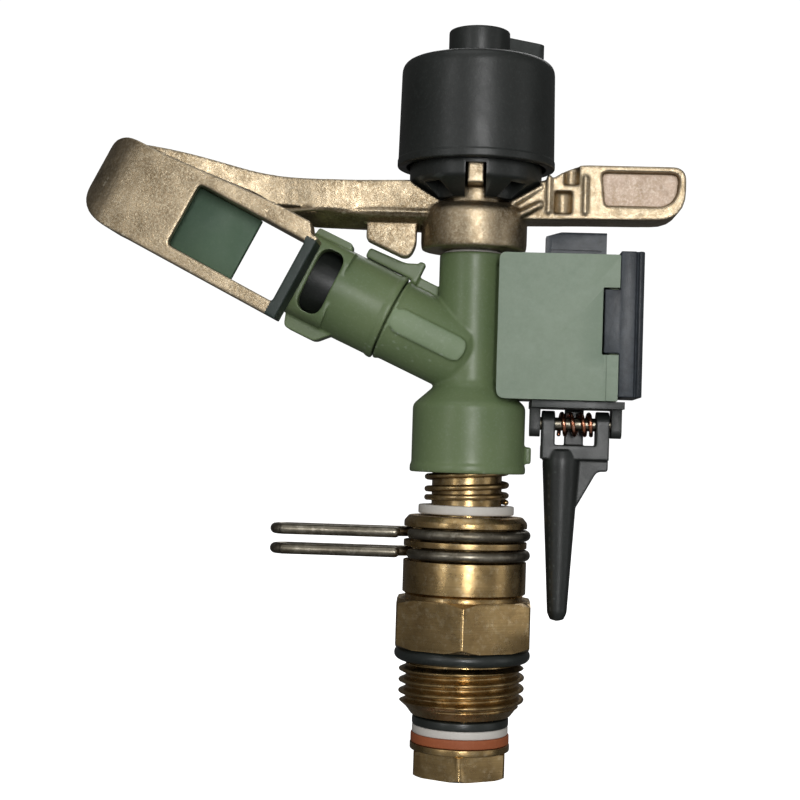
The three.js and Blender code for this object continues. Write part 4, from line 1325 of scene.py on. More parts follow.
@dataclass
class Arm:
    """The cast hammer arm: hub, bar, spoon with its window and liner, striker and tail."""

    hub_low: float = field(default_factory=lambda: Span.of("arm_bushing").low.z)
    neck_top: float = field(default_factory=lambda: Span.of("arm_bushing").high.z)
    body_low: float = field(default_factory=lambda: Span.of("sprinkler_body").low.z)
    hub_radius: float = 8.9
    hub_height: float = 7.5
    neck_radius: float = 5.6
    bore: float = 4.05
    face: float = 5.6
    keel: float = 2.6
    front: float = 4.5
    tilt: float = 27.0
    start: float = 30.2
    end: float = 69.0
    upper: float = 4.6
    shoulder: float = 6.3
    lower: float = -10.2
    near: float = 15.0
    back: float = 8.2
    skin: float = 1.5
    lip: float = 1.7
    sill: float = 2.3
    curl: float = 9.5
    hook: float = 2.0
    window: float = 19.3
    insert: float = 10.8
    tail_reach: float = 34.8
    tail_half: float = 4.3
    tail_height: float = 8.9

    @property
    def level(self) -> float:
        """Where the spoon's axis meets the spin axis."""
        return self.body_low + Body.rise

    @property
    def face_top(self) -> float:
        """The bar's upper edge."""
        return self.hub_low + 11.6

    @property
    def keel_low(self) -> float:
        """The bar's lower edge."""
        return self.face_top - self.face - self.keel

    def on_spoon(self, along: float, across: float, depth: float) -> tuple[float, float, float]:
        """A place on the spoon in the frame.

        Args:
            along: From the spin axis, along the spoon.
            across: Upwards, across it.
            depth: In front of the spin axis.

        Returns:
            The place.
        """
        point = inclined(self.tilt, self.level) @ Vector((across, -depth, along))
        return (point.x, point.y, point.z)

    def bar(self) -> Solid:
        """The bar between hub and spoon."""
        top, under = self.face_top, self.face_top - self.face
        reach = self.end * math.cos(math.radians(self.tilt))
        front = Solid.slab(
            [(0, top), (0, self.keel_low), (-self.start + 2, self.keel_low, 3),
             (-self.start - 10, under + 0.6), (-reach + 6, under + 6),
             (-reach + 4.5, top + 3.6, 1.2),
             (-reach + 12, top + 2.8, 6), (-self.start - 3.5, top - 1.0, 5)],
            Axis.Y, -20, 20,
        )
        plan = Solid.slab(
            [(2, -self.front), (2, self.front), (-12, self.front - 2, 4),
             (-self.start - 6, -1.5, 8), (-reach + 2, -4), (-reach + 2, -self.near + 3),
             (-self.start - 6, -self.front - 5, 8),
             (-self.start + 8, -self.front, 8)],
            Axis.Z, self.keel_low - 5, top + 12,
        )
        section = Solid.slab(
            [(-self.near, under), (-self.front, under), (-self.front - 0.4, under - 0.5),
             (-self.front + 0.4, under - 1.1), (-1, self.keel_low), (self.front, self.keel_low),
             (self.front, top + 12), (-self.near, top + 12)],
            Axis.X, -reach, 5,
        )
        return front.common(plan, section)

    def bead(self) -> Solid:
        """The raised lip along the bar's face and the spoon's upper edge."""
        level = self.face_top - self.face - 0.1
        path = [(-7.5, -self.front + 0.1, level), (-15, -self.front, level),
                (-22, -self.front - 0.1, level), (-26.5, -self.front - 1.2, level - 0.1),
                self.on_spoon(38.5, self.shoulder - 0.1, 9.6),
                self.on_spoon(43, self.shoulder - 0.3, 12.6),
                self.on_spoon(48, self.upper + 0.7, self.near - 0.7),
                self.on_spoon(54, self.upper + 0.1, self.near - 0.4),
                self.on_spoon(59, self.upper - 0.3, self.near - 0.4)]
        return Solid.wire(flowing(path, 8), 0.42, sides=10)

    def scoop_line(self, skin: float, start: float) -> list[Pair]:
        """Depth and length of the spoon's skin, from its near end round the curled end."""
        centre = (self.curl - self.near, self.end - self.curl)
        arc = circle_points(centre, self.curl - skin, 180, 90, 18)
        return [(-self.near + skin, start), *arc]

    def spoon(self) -> Solid:
        """The scoop-shaped end of the arm, in its own frame."""
        outer = Solid.slab(
            [*self.scoop_line(0, self.start), (self.hook, self.end), (self.hook, self.end - 5),
             (-self.back, self.end - self.curl - 1), (-self.back, self.start)],
            Axis.X, self.lower, self.upper,
        )
        face = Solid.slab(
            [(self.lower, self.start - 1), (self.upper, self.start - 1),
             (self.upper, self.end + 0.3, 5.5), (self.lower, self.end + 0.3, 8.5)],
            Axis.Y, -self.near - 1, self.hook + 1, steps=12,
        )
        return outer.common(face)

    def web(self) -> Solid:
        """The shoulder on the spoon's upper edge that runs up to the bar, in the spoon's frame."""
        root = self.upper - self.skin
        return Solid.slab(
            [(root, self.start), (self.shoulder, self.start + 2.4),
             (self.shoulder, self.start + 9, 6), (self.upper - 0.2, self.end - self.curl),
             (root, self.end - self.curl)],
            Axis.Y, -self.near + 0.05, -self.back,
        )

    def hollow(self) -> Solid:
        """The room behind the spoon's skin and the window in front of it."""
        start = self.start + self.lip
        low, high = self.lower + self.sill, self.upper - self.skin
        room = Solid.slab(
            [*self.scoop_line(self.skin, start), (self.hook + 1, self.end - self.skin),
             (self.hook + 1, start)],
            Axis.X, low, high,
        )
        opening = Solid.slab(
            [(low, start, 0.3), (high, start, 0.3), (high, start + self.window, 0.9),
             (low, start + self.window, 0.9)],
            Axis.Y, -self.near - 1, -self.near + self.skin + 1,
        )
        within = Solid.slab(
            [(low, start), (high, start), (high, self.end - self.skin, 4),
             (low, self.end - self.skin, 6.5)],
            Axis.Y, -self.near - 2, self.hook + 2, steps=12,
        )
        return room.plus(opening).common(within)

    def striker(self) -> Solid:
        """The lug under the bar that meets the anvil."""
        root = self.keel_low + 0.6
        return Solid.slab(
            [(-18.0, root), (-18.0, self.keel_low - 2.1, 0.6), (-11.0, self.keel_low - 5.3, 1.4),
             (-9.6, self.keel_low - 3, 1.2), (-9.6, root)],
            Axis.Y, -2.9, 0.3,
        )

    def tail(self) -> Solid:
        """The counterweight with its recessed panel, ribs and pockets."""
        top = self.hub_low + 14.4
        bottom = top - self.tail_height
        reach, half = self.tail_reach, self.tail_half
        block = Solid.slab(
            [(0, bottom - 0.6), (reach - 15, bottom - 0.2, 2),
             (reach, bottom, 5), (reach, top, 2.4), (16.25, top, 2.5), (12.25, self.face_top, 2),
             (0, self.face_top)],
            Axis.Y, -half, half,
        )
        recess = self.panel_outline(0.0)
        panel = Solid.slab(recess, Axis.Y, -half - 1, -half + 1.2)
        middle = (top + bottom) / 2
        pockets = [
            Solid.rod(radius, low, high).moved(Matrix.Translation((x, -half, z)))
            for radius, low, high, x, z in (
                (1.25, -1.4, 4.5, reach - 18.9, middle + 2.4),
                (1.5, -1.9, 1.9, reach - 20.2, middle - 1.9),
            )
        ]
        face = -half + 0.1
        ribs = [
            Solid.wire([Vector((x, face, bottom + 1.0)), Vector((x, face, middle + 2.2))], 0.5,
                       sides=12)
            for x in (reach - 22.6, reach - 16.6)
        ]
        hub_top = self.hub_low + self.hub_height
        gussets = [
            Solid.wire([Vector(foot), Vector(head)], 0.6, sides=12)
            for foot, head in (
                ((6.4, -4.4, hub_top + 0.3), (11.0, -3.9, hub_top + 3.1)),
                ((7.2, -4.6, hub_top - 1.8), (10.8, -4.2, hub_top + 0.1)),
            )
        ]
        return block.minus(panel, *pockets).plus(*ribs, *gussets)

    def panel_outline(self, inset: float) -> list[Corner]:
        """Outline of the tail's recessed panel, smaller by an inset all round."""
        top = self.hub_low + 14.4
        bottom = top - self.tail_height
        reach = self.tail_reach
        return [
            (reach - 13.4 + inset, bottom + 2.1 + inset, 1.0),
            (reach - 1.4 - inset, bottom + 2.1 + inset, 3.6),
            (reach - 1.0 - inset, top - 1.0 - inset, 1.5),
            (reach - 14.0 + inset, top - 1.0 - inset, 1.0),
        ]

    def arm_solid(self) -> Solid:
        """The whole casting."""
        low = self.hub_low
        top = low + self.hub_height
        hub = Solid.turned(
            [(0, low), (self.hub_radius - 0.15, low, 0.4), (self.hub_radius, low + 1.2, 0.3),
             (self.hub_radius, top - 1.0, 0.8), (self.hub_radius - 1.5, top, 0.5),
             (self.neck_radius, top, 0.2), (self.neck_radius, self.neck_top, 0.2),
             (0, self.neck_top)],
            sides=96,
        )
        seat = Span.of("spring_seat")
        cap = Span.of("spring_cap")
        side, wide, under = seat.high.x + 0.4, cap.high.x + 0.9, cap.low.z - 0.9
        line = [(self.neck_radius, top + 0.4), (7.15, top + 0.4), (side, seat.low.z + 2.5),
                (side, under), (wide, under), (wide, cap.high.z), (self.neck_radius, cap.high.z)]
        room = Solid.turned([*line, line[0]], sides=96)
        limbs = self.bar().plus(self.tail(), self.bead()).minus(room)
        move = inclined(self.tilt, self.level)
        spoon = self.spoon().plus(self.web()).moved(move)
        scoop = limbs.plus(spoon).minus(self.hollow().moved(move))
        tip = -seat.high.x + 1.3
        key_low = seat.low.z + 1.8
        key_foot = Solid.block(-1.35, 1.35, tip, -self.neck_radius + 0.8, key_low, key_low + 1.9)
        key_face = Solid.block(-1.35, 1.35, tip, tip + 0.9, key_low, key_low + 3.8)
        bore = Solid.rod(self.bore, low - 1, self.neck_top + 1)
        return scoop.plus(hub, self.striker(), key_foot, key_face).minus(bore)

    def liner(self) -> Solid:
        """The flat liner behind the window."""
        near = self.start + self.lip + self.window - self.insert
        level = -self.back - 0.1
        return Solid.slab(
            [(level - 1.4, near), (level, near), (level, self.end - self.curl),
             (level - 1.4, self.end - self.curl)],
            Axis.X, self.lower + self.sill + 0.05, self.upper - self.skin - 0.05,
        ).broken(0.2, 3)

    def build(self) -> None:
        """Builds and dresses the sub-assembly."""
        move = inclined(self.tilt, self.level)
        arm = set_down("arm_casting", self.arm_solid().cast(0.21, 4), Finish.CAST_BRASS, "arm",
                       "hammer_arm", crease=60)
        self.dress_panel(arm)
        set_down("spoon_liner", self.liner().moved(move), Finish.LINER, "arm", "spoon_insert")
        bush = Solid.tube(self.bore - 0.05, 2.7, self.hub_low, self.neck_top, edge=0.15)
        set_down("bushing_sleeve", bush, Finish.WHITE, "arm", "arm_bushing")
        span = Span.of("thrust_washer")
        washer = Solid.tube(span.high.x, 2.45, span.low.z, span.high.z, edge=0.1)
        set_down("thrust_ring", washer, Finish.WHITE, "rotor", "thrust_washer")

    def dress_panel(self, arm: bpy.types.Object) -> None:
        """Gives the tail's recess a rougher finish whose paleness is a painted highlight, and
        paints shade onto the window's near end.
        """
        arm.data.materials.append(Finish.TAIL_PANEL.material())
        arm.data.materials.append(Finish.GUARD.material())
        back = inclined(self.tilt, self.level).inverted()
        floor = -self.tail_half + 1.2
        outline = self.panel_outline(0.25)
        left = min(c[0] for c in outline) * MM
        right = max(c[0] for c in outline) * MM
        low = min(c[1] for c in outline) * MM
        high = max(c[1] for c in outline) * MM
        for face in arm.data.polygons:
            c = face.center
            # painted highlight: the recess floor takes the pale panel finish
            if left < c.x < right and low < c.z < high and abs(c.y / MM - floor) < 0.3:
                if face.normal.y < -0.8:
                    face.material_index = 1
            # painted shade: faces at the window's near end take the dark end-shade finish
            place = back @ (c / MM)
            if place.z < self.start + self.lip + 0.15 and place.y < -self.back + 1.0:
                if self.lower - 0.5 < place.x < self.upper - 0.6:
                    face.material_index = 2


# ------------------------------------------------------------------------------ spring head


@dataclass
class SpringHead:
    """The return spring on its slotted seat, under its cap, with the tension adjuster."""

    seat: Span = field(default_factory=lambda: Span.of("spring_seat"))
    cap: Span = field(default_factory=lambda: Span.of("spring_cap"))
    knob: Span = field(default_factory=lambda: Span.of("tension_adjuster"))
    foot_radius: float = 6.75
    neck_radius: float = 5.65
    cone_height: float = 2.9
    slots: int = 8
    slot_width: float = 3.4
    wall: float = 1.5
    pin_radius: float = 2.4
    boss_radius: float = 5.15
    lug_reach: float = 12.4
    lug_width: float = 6.2
    lug_bearing: float = 35.0

    def seat_solid(self) -> Solid:
        """The castellated seat."""
        low, high = self.seat.low.z, self.seat.high.z
        ring = self.seat.high.x
        base = low + self.cone_height
        corners = [(self.neck_radius, low, 0.1), (self.foot_radius, low, 0.3), (ring, base, 0.5),
                   (ring, high, 0.25), (ring - 1.3, high, 0.2), (ring - 1.3, base + 1, 0.3),
                   (self.neck_radius, base + 1, 0.1)]
        cup = Solid.turned([*corners, corners[0]], sides=96)
        half = self.slot_width / 2
        cuts = []
        for k in range(self.slots):
            turn = Matrix.Rotation(2 * math.pi * k / self.slots, 4, "Z")
            cut = Solid.block(self.neck_radius + 1.15, ring - 1.0, -half, half, low - 1, high + 1)
            cuts.append(cut.moved(turn))
        front = Matrix.Rotation(math.radians(-90), 4, "Z")
        cut = Solid.block(self.neck_radius / 2, ring + 1.0, -half, half, low - 1, high - 1)
        cuts.append(cut.moved(front))
        return cup.minus(*cuts).broken(0.14, 2, 35)

    def cap_solid(self) -> Solid:
        """The round cap, open below."""
        low, high = self.cap.low.z, self.cap.high.z
        rim = self.cap.high.x
        top = rim - 0.4
        inside = rim - self.wall
        roof = high - self.wall
        corners = [
            (inside, low, 0.2), (rim, low, 0.35), (rim, low + 1.2, 0.1),
            (rim - 0.12, low + 1.45, 0.1), (top, high - 0.2, 2.0), (top - 3.2, high, 0.8),
            (self.pin_radius + 0.05, high, 0.1),
            (self.pin_radius + 0.05, roof - 5, 0.1), (self.pin_radius + 1.4, roof - 5, 0.1),
            (self.pin_radius + 1.4, roof, 0.3), (inside - 0.4, roof, 0.5),
        ]
        return Solid.turned([*corners, corners[0]], sides=128, steps=8)

    def knob_solid(self) -> Solid:
        """The adjuster's boss and lug, with a screwdriver slot."""
        low, high = self.knob.low.z, self.knob.high.z
        boss = Solid.rod(self.boss_radius, low, high, edge=0.45)
        collar = Solid.tube(self.boss_radius - 0.2, 2.9, high - 1.2, high - 0.3)
        half = self.lug_width / 2
        lug = Solid.slab(
            [(0, -half), (self.lug_reach, -half, 2.4), (self.lug_reach, half, 2.4), (0, half)],
            Axis.Z, low, high - 0.9, steps=8,
        )
        slot = Solid.block(-3.2, 3.2, -0.5, 0.5, high - 1, high + 1)
        bore = Solid.rod(self.pin_radius + 0.3, low - 1, high - 1.6)
        turn = Matrix.Rotation(math.radians(self.lug_bearing), 4, "Z")
        return boss.plus(collar, lug).minus(slot, bore).broken(0.3, 3, 40).moved(turn)

    def build(self) -> None:
        """Builds and dresses the sub-assembly."""
        set_down("seat_castle", self.seat_solid(), Finish.BLACK, "arm", "spring_seat")
        set_down("cap_shell", self.cap_solid(), Finish.BLACK, "rotor", "spring_cap")
        set_down("tension_knob", self.knob_solid(), Finish.BLACK, "adjuster", "tension_adjuster")
        span = Span.of("arm_spring")
        radius = 0.65
        line = helix(span.high.x - radius, span.low.z + radius, span.high.z - radius, 6, 40)
        set_down("return_coil", Solid.wire(line, radius), Finish.WIRE, "arm", "arm_spring",
                 crease=60)
        pin = Span.of("arm_pin")
        post = Solid.rod(self.pin_radius, pin.low.z, pin.high.z, edge=0.35)
        set_down("arm_post", post, Finish.WIRE, "rotor", "arm_pin")
        self.screw()

    def screw(self) -> None:
        """Builds the small screw at the foot of the boss."""
        span = Span.of("clamp_screw")
        low, high = span.low.z, span.high.z
        centre = (span.low + span.high) / 2
        radius = (span.high.x - span.low.x) / 2
        deep = 0.35
        head = Solid.turned(
            [(0, low), (radius, low), (radius, high - deep, 0.2), (0, high, 0.1)], 40
        )
        slot = Solid.block(-radius, radius, -0.15, 0.15, high - deep, high + 1)
        turn = Matrix.Rotation(math.radians(25), 4, "Z")
        turn = Matrix.Translation((centre.x, centre.y, 0)) @ turn
        set_down("clamp_screw_head", head.minus(slot).moved(turn), Finish.WIRE, "rotor",
                 "clamp_screw")


# ------------------------------------------------------------------------------ reversing mechanism


@dataclass
class Reverser:
    """The housing with its cover and clip, the levers, their pins and the toggle spring."""

    housing: Span = field(default_factory=lambda: Span.of("mechanism_housing"))
    cover: Span = field(default_factory=lambda: Span.of("housing_cover"))
    clip: Span = field(default_factory=lambda: Span.of("clip_cover"))
    bracket: Span = field(default_factory=lambda: Span.of("lever_bracket"))
    lever: Span = field(default_factory=lambda: Span.of("trip_lever"))
    tab: Span = field(default_factory=lambda: Span.of("reversing_lever"))
    wall: float = 1.4
    notch_drop: float = 5.4
    tongue_height: float = 11.0
    tongue: float = 2.7
    pin: float = 1.1
    yoke_half: float = 2.2
    yoke_arm: float = 2.2
    hanger: float = 1.7
    tongue_half: float = 1.6
    yoke_drop: float = 5.9
    yoke_bar: float = 2.4
    tab_half: float = 1.5
    gap: float = 0.3
    press: float = 0.05
    cone_x: float = 15.6

    @property
    def pivot(self) -> float:
        """Level of the trip lever's pivot."""
        span = Span.of("trip_pivot_pin")
        return (span.low.z + span.high.z) / 2

    @property
    def tab_pivot(self) -> float:
        """Level of the reversing lever's pivot."""
        span = Span.of("reversing_pivot_pin")
        return (span.low.z + span.high.z) / 2

    @property
    def middle(self) -> float:
        """Middle of the trip lever's yoke along X."""
        return (self.lever.low.x + self.lever.high.x) / 2

    def pin_hole(self, piece: Span, level: float, slack: float) -> Solid:
        """The hole that a pivot pin goes through.

        Args:
            piece: The piece that it's cut from.
            level: The pin's level.
            slack: The hole's radius less the pin's.

        Returns:
            The solid to take away.
        """
        rod = Solid.rod(self.pin + slack, piece.low.x - 1, piece.high.x + 1, sides=32)
        return rod.moved(along_x(z=level))

    def housing_solid(self) -> Solid:
        """The open-fronted box on the body's side."""
        low, high = self.housing.low, self.housing.high
        shell = Solid.block(low.x, high.x, low.y, high.y, low.z, high.z)
        room = Solid.block(low.x + self.wall, high.x - self.wall, low.y - 1, high.y - self.wall,
                           low.z + self.wall, high.z - self.wall)
        half = high.y - 1.2
        tab_slot = Solid.block(self.tab.low.x - self.gap, self.tab.high.x + self.gap, -half, half,
                               high.z - 3, high.z + 1)
        reach = self.tongue_half + self.gap
        tongue = Solid.block(self.middle - reach, self.middle + reach, -half, half,
                             low.z - 1, low.z + 3)
        hole = self.pin_hole(self.housing, self.tab_pivot, self.press)
        skirt = Span.of("sprinkler_body").low.z + Body.skirt_height
        shoulder = skirt + Body.shoulder_height + self.gap
        wide, narrow = Body.skirt_radius + self.gap, Body.barrel_radius + self.gap
        room_for_body = Solid.turned(
            [(0, skirt - 1), (wide, skirt - 1), (wide, skirt + self.gap), (narrow, shoulder),
             (0, shoulder)],
        )
        return shell.minus(room, tab_slot, tongue, hole, room_for_body).broken(0.28, 3, 40)

    def cover_solid(self) -> Solid:
        """The front plate, notched for the clip's tongue."""
        low, high = self.cover.low, self.cover.high
        front = high.y - 1.5
        notch_top = high.z - self.notch_drop
        notch_low = notch_top - self.tongue_height
        notch = high.x - self.tongue
        plate = Solid.slab(
            [(low.x, low.z, 1.6), (high.x, low.z, 0.3), (high.x, notch_low, 0.2),
             (notch, notch_low, 0.3), (notch, notch_top, 0.3), (high.x, notch_top, 0.2),
             (high.x, high.z, 0.3),
             (low.x, high.z, 1.1)],
            Axis.Y, front, high.y,
        )
        inset = 0.01
        foot = Solid.block(high.x - 1.9, high.x, low.y, high.y - 0.1, low.z + inset,
                           notch_low - inset)
        return plate.plus(foot).broken(0.22, 3, 40)

    def clip_solid(self) -> Solid:
        """The dark rail along the housing's outer side, with its tongue."""
        low, high = self.clip.low, self.clip.high
        x0 = self.housing.high.x + 0.05
        rail = Solid.slab(
            [(x0, low.y), (high.x, low.y, 0.7), (high.x, high.y), (x0, high.y)],
            Axis.Z, low.z, high.z,
        )
        groove = Solid.block(high.x - 1.35, high.x - 0.95, low.y - 1, low.y + 0.5,
                             low.z - 1, high.z + 1)
        notch_top = self.housing.high.z - self.notch_drop - self.gap
        notch_low = notch_top - self.tongue_height + 2 * self.gap
        tongue = Solid.block(low.x, x0 + 0.5, low.y, low.y + 1.2, notch_low, notch_top)
        catch = Solid.block(high.x - 0.9, high.x, low.y + 2.2, low.y + 5.2,
                            low.z + 2.5, low.z + 8.5)
        return rail.minus(groove, catch).plus(tongue).broken(0.2, 3, 40)

    def bracket_solid(self) -> Solid:
        """The plate under the housing and its two hangers."""
        low, high = self.bracket.low, self.bracket.high
        plate = Solid.block(low.x, high.x, low.y, high.y, high.z - 1.2, high.z)
        sides = []
        for x in (low.x, high.x - self.hanger):
            outline = [(-self.yoke_half, high.z), (-self.yoke_half, low.z, 1.4),
                       (self.yoke_half, low.z, 1.4), (self.yoke_half, high.z)]
            sides.append(Solid.slab(outline, Axis.X, x, x + self.hanger))
        reach = self.tongue_half + self.gap
        slot = Solid.block(self.middle - reach, self.middle + reach, low.y + 1.2, high.y - 1.2,
                           high.z - 3, high.z + 1)
        hole = self.pin_hole(self.bracket, self.pivot, self.press)
        return plate.plus(*sides).minus(slot, hole).broken(0.22, 3, 40)

    def lever_solid(self) -> Solid:
        """The trip lever: yoke, tongue, gusset and the long tapered finger."""
        x0, x1 = self.lever.low.x, self.lever.high.x
        pivot, half = self.pivot, self.yoke_half
        under = pivot - self.yoke_drop
        back = 3.5
        arm_outline = [(-half, under), (half, under), *circle_points((0, pivot), half, 0, 180, 16)]
        arms = [
            Solid.slab(arm_outline, Axis.X, x, x + self.yoke_arm)
            for x in (x0, x1 - self.yoke_arm)
        ]
        bar = Solid.block(x0, x1, -half, back, under, under + self.yoke_bar)
        foot, head, thick = pivot + 2.4, pivot + 9.5, 0.9
        tongue = Solid.slab(
            [(back - 1.1, under), (back, under), (back, foot + 0.8, 0.6), (thick, foot + 2.6, 0.5),
             (thick, head, 0.5), (-thick, head, 0.5), (-thick, foot, 0.3), (back - 1.1, foot, 0.3)],
            Axis.X, self.middle - self.tongue_half, self.middle + self.tongue_half,
        )
        tip = self.lever.low.z
        cone = Solid.turned(
            [(0, tip), (1.15, tip + 0.3, 0.2), (1.65, tip + 1.4, 0.4), (3.1, under - 0.2, 0.8),
             (2.6, under + 1.5), (0, under + 1.5)],
            sides=64,
        ).shifted(x=self.cone_x)
        gusset = Solid.slab(
            [(self.cone_x, under + 1), (x1, under + 1), (x1, under - 1.9, 0.5),
             (x1 - 1.8, under - 1.9, 0.8), (self.cone_x + 2.3, under - 8.6, 0.8),
             (self.cone_x, under - 8.6)],
            Axis.Y, -0.8, 0.8,
        )
        hole = self.pin_hole(self.lever, pivot, self.gap)
        return arms[0].plus(arms[1], bar, tongue, cone, gusset).minus(hole)

    def tab_solid(self) -> Solid:
        """The reversing lever with its sloped top."""
        low, high = self.tab.low, self.tab.high
        half = self.tab_half
        plate = Solid.slab(
            [(-half, self.tab_pivot), (half, self.tab_pivot), (half, high.z, 0.5),
             (-half, high.z, 0.5)],
            Axis.X, low.x, high.x,
        )
        slope = Solid.slab(
            [(low.x - 1, high.z - 1.1), (low.x - 1, high.z + 1), (low.x + 6, high.z + 1)],
            Axis.Y, -half - 1, half + 1,
        )
        ridge = Solid.block(low.x + 0.9, high.x - 0.9, -half, -half + 0.3,
                            high.z - 3.4, high.z - 3.0)
        eye = Solid.rod(half + 1.1, low.x, high.x, sides=48).moved(along_x(z=self.tab_pivot))
        hole = self.pin_hole(self.tab, self.tab_pivot, self.gap)
        return plate.plus(eye).minus(slope, hole, ridge).broken(0.25, 3, 40)

    def toggle(self) -> Solid:
        """The small toggle spring between the yoke's arms, with an eye at its end."""
        span = Span.of("toggle_spring")
        radius = 0.35
        coil = span.high.z - self.pivot - radius
        line = helix(coil, span.low.x + radius, span.high.x - radius, 4, 32)
        return Solid.wire(line, radius, sides=12).moved(along_x(z=self.pivot))

    def build(self) -> None:
        """Builds and dresses the sub-assembly."""
        set_down("housing_box", self.housing_solid(), Finish.GREEN, "rotor", "mechanism_housing")
        set_down("cover_plate", self.cover_solid(), Finish.COVER, "rotor", "housing_cover")
        set_down("clip_rail", self.clip_solid(), Finish.SLATE, "rotor", "clip_cover")
        set_down("bracket_hangers", self.bracket_solid(), Finish.BLACK, "rotor", "lever_bracket")
        set_down("trip_finger", self.lever_solid().cast(0.14, 3), Finish.BLACK, "trip_lever",
                 "trip_lever", crease=60)
        set_down("reversing_tab", self.tab_solid(), Finish.SLATE, "reversing_lever",
                 "reversing_lever")
        set_down("toggle_coil", self.toggle(), Finish.COPPER, "rotor", "toggle_spring", crease=60)
        levels = {"trip_pivot_pin": self.pivot, "reversing_pivot_pin": self.tab_pivot}
        for node, level in levels.items():
            span = Span.of(node)
            bar = Solid.rod(self.pin, span.low.x, span.high.x, sides=32, edge=0.2)
            set_down(f"{node}_bar", bar.moved(along_x(z=level)), Finish.WIRE, "rotor", node)


# ------------------------------------------------------------------------------ studio


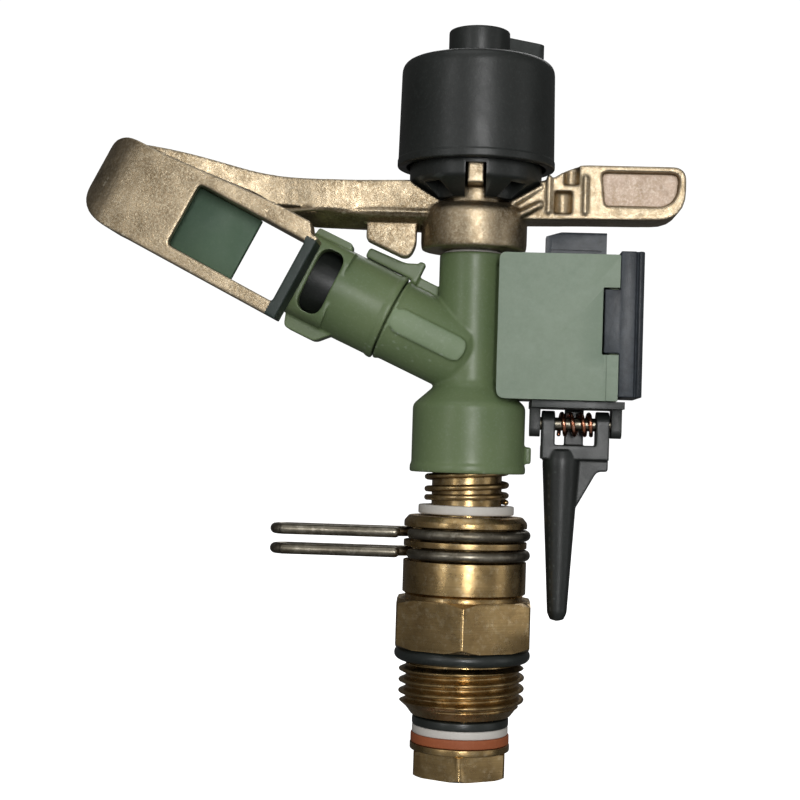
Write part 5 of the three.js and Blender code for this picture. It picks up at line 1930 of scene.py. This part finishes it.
@dataclass
class Studio:
    """Pale floor, soft light and the camera."""

    distance: float = 270.0
    height: float = 32.5
    side: float = 0.15
    lens: float = 72.3
    yaw: float = 2.5
    pitch: float = 1.78
    roll: float = 1.74

    def camera(self) -> None:
        """Places the camera in front of the nozzle's side."""
        data = bpy.data.cameras.new("camera")
        data.lens = self.lens
        data.sensor_width = 36.0
        data.clip_start = 0.01
        data.clip_end = 50.0
        view = bpy.data.objects.new("camera", data)
        bpy.context.scene.collection.objects.link(view)
        turn = (
            Matrix.Rotation(math.radians(self.yaw), 4, "Z")
            @ Matrix.Rotation(math.radians(90 + self.pitch), 4, "X")
            @ Matrix.Rotation(math.radians(self.roll), 4, "Z")
        )
        place = Matrix.Translation(Vector((self.side, -self.distance, self.height)) * MM)
        view.matrix_world = place @ turn
        bpy.context.scene.camera = view

    def lamp(self, name: str, place: Pair3, size: Pair, watts: float, aim: Pair3) -> None:
        """Adds a soft box.

        Args:
            name: Its name.
            place: Where it stands, in metres.
            size: Its width and height in metres.
            watts: Its power.
            aim: The point that it faces.
        """
        data = bpy.data.lights.new(name, "AREA")
        data.shape = "RECTANGLE"
        data.size, data.size_y = size
        data.energy = watts
        lamp = bpy.data.objects.new(name, data)
        bpy.context.scene.collection.objects.link(lamp)
        lamp.location = place
        lamp.rotation_mode = "QUATERNION"
        lamp.rotation_quaternion = (Vector(aim) - Vector(place)).to_track_quat("-Z", "Y")

    def build(self) -> None:
        """Builds the floor, the surroundings, the lamps and the camera."""
        self.floor()
        self.surroundings()
        self.camera()
        middle = (0.0, 0.0, 0.04)
        self.lamp("front_box", (0.10, -0.75, 0.12), (0.07, 0.4), 2.7, middle)
        self.lamp("top_box", (-0.1, -0.2, 0.7), (0.5, 0.5), 0.7, middle)
        self.lamp("left_box", (-0.5, -0.6, 0.2), (0.12, 0.5), 0.6, middle)
        self.lamp("right_box", (0.75, -0.25, 0.1), (0.25, 0.6), 0.35, middle)
        self.lamp("back_box", (0.1, 0.6, 0.5), (0.4, 0.3), 0.7, middle)
        bpy.context.scene.view_settings.view_transform = "Standard"

    def floor(self) -> None:
        """A plain white floor that fades into the surroundings."""
        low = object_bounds()[0].z
        size = 6.0
        mesh = bpy.data.meshes.new("floor")
        mesh.from_pydata(
            [(-size, -size, low), (size, -size, low), (size, size, low), (-size, size, low)],
            [], [(0, 1, 2, 3)],
        )
        floor = bpy.data.objects.new("floor", mesh)
        bpy.context.scene.collection.objects.link(floor)
        paint = Paint("floor_paint")
        tone = paint.ranged(paint.noise(0.002, 3.0, 0.5), 0.2, 0.8, 0.0, 1.0)
        colour = paint.mixed(tone, (250, 250, 249), (254, 254, 254))
        rough = paint.ranged(paint.noise(0.01, 3.0, 0.5), 0.2, 0.8, 0.85, 0.95)
        normal = paint.relief(paint.noise(0.5, 2.0, 0.5), 0.01)
        paint.shader.inputs["Specular IOR Level"].default_value = 0.0
        paint.shader.inputs["Emission Color"].default_value = (1.0, 1.0, 1.0, 1.0)
        paint.shader.inputs["Emission Strength"].default_value = 1.0
        mesh.materials.append(paint.finished(colour, rough, normal))
        floor.visible_glossy = False
        floor.visible_diffuse = False
        floor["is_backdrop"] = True

    def surroundings(self) -> None:
        """A white room: fully white where it is seen, dimmer where it only lights the pieces."""
        world = bpy.data.worlds.new("room")
        bpy.context.scene.world = world
        world.use_nodes = True
        tree = world.node_tree
        tree.nodes.clear()
        output = tree.nodes.new("ShaderNodeOutputWorld")
        seen = tree.nodes.new("ShaderNodeBackground")
        seen.inputs["Color"].default_value = (1.0, 1.0, 1.0, 1.0)
        seen.inputs["Strength"].default_value = 1.05
        light = tree.nodes.new("ShaderNodeBackground")
        light.inputs["Strength"].default_value = 0.5
        place = tree.nodes.new("ShaderNodeTexCoord")
        split = tree.nodes.new("ShaderNodeSeparateXYZ")
        tree.links.new(place.outputs["Generated"], split.inputs[0])
        shares = []
        for way, start, end, low, high in (
            ("Z", -0.8, 0.8, 0.7, 1.0), ("Y", -0.8, 0.15, 1.0, 0.22), ("X", -1.0, 1.0, 0.7, 0.9),
        ):
            ramp = tree.nodes.new("ShaderNodeMapRange")
            ends = {"From Min": start, "From Max": end, "To Min": low, "To Max": high}
            for key, number in ends.items():
                ramp.inputs[key].default_value = number
            tree.links.new(split.outputs[way], ramp.inputs["Value"])
            shares.append(ramp.outputs[0])
        product = shares[0]
        for share in shares[1:]:
            times = tree.nodes.new("ShaderNodeMath")
            times.operation = "MULTIPLY"
            tree.links.new(product, times.inputs[0])
            tree.links.new(share, times.inputs[1])
            product = times.outputs[0]
        tree.links.new(product, light.inputs["Color"])
        rays = tree.nodes.new("ShaderNodeLightPath")
        mix = tree.nodes.new("ShaderNodeMixShader")
        tree.links.new(rays.outputs["Is Camera Ray"], mix.inputs[0])
        tree.links.new(light.outputs[0], mix.inputs[1])
        tree.links.new(seen.outputs[0], mix.inputs[2])
        tree.links.new(mix.outputs[0], output.inputs[0])


def main() -> None:
    """Builds the sprinkler, piece by piece, and the studio round it."""
    logging.basicConfig(level=logging.INFO, format="%(name)s: %(message)s", stream=sys.stdout)
    for assembly in (Inlet(), Body(), Arm(), SpringHead(), Reverser(), Studio()):
        LOG.info("building %s", type(assembly).__name__)
        assembly.build()


if __name__ == "__main__":
    main()
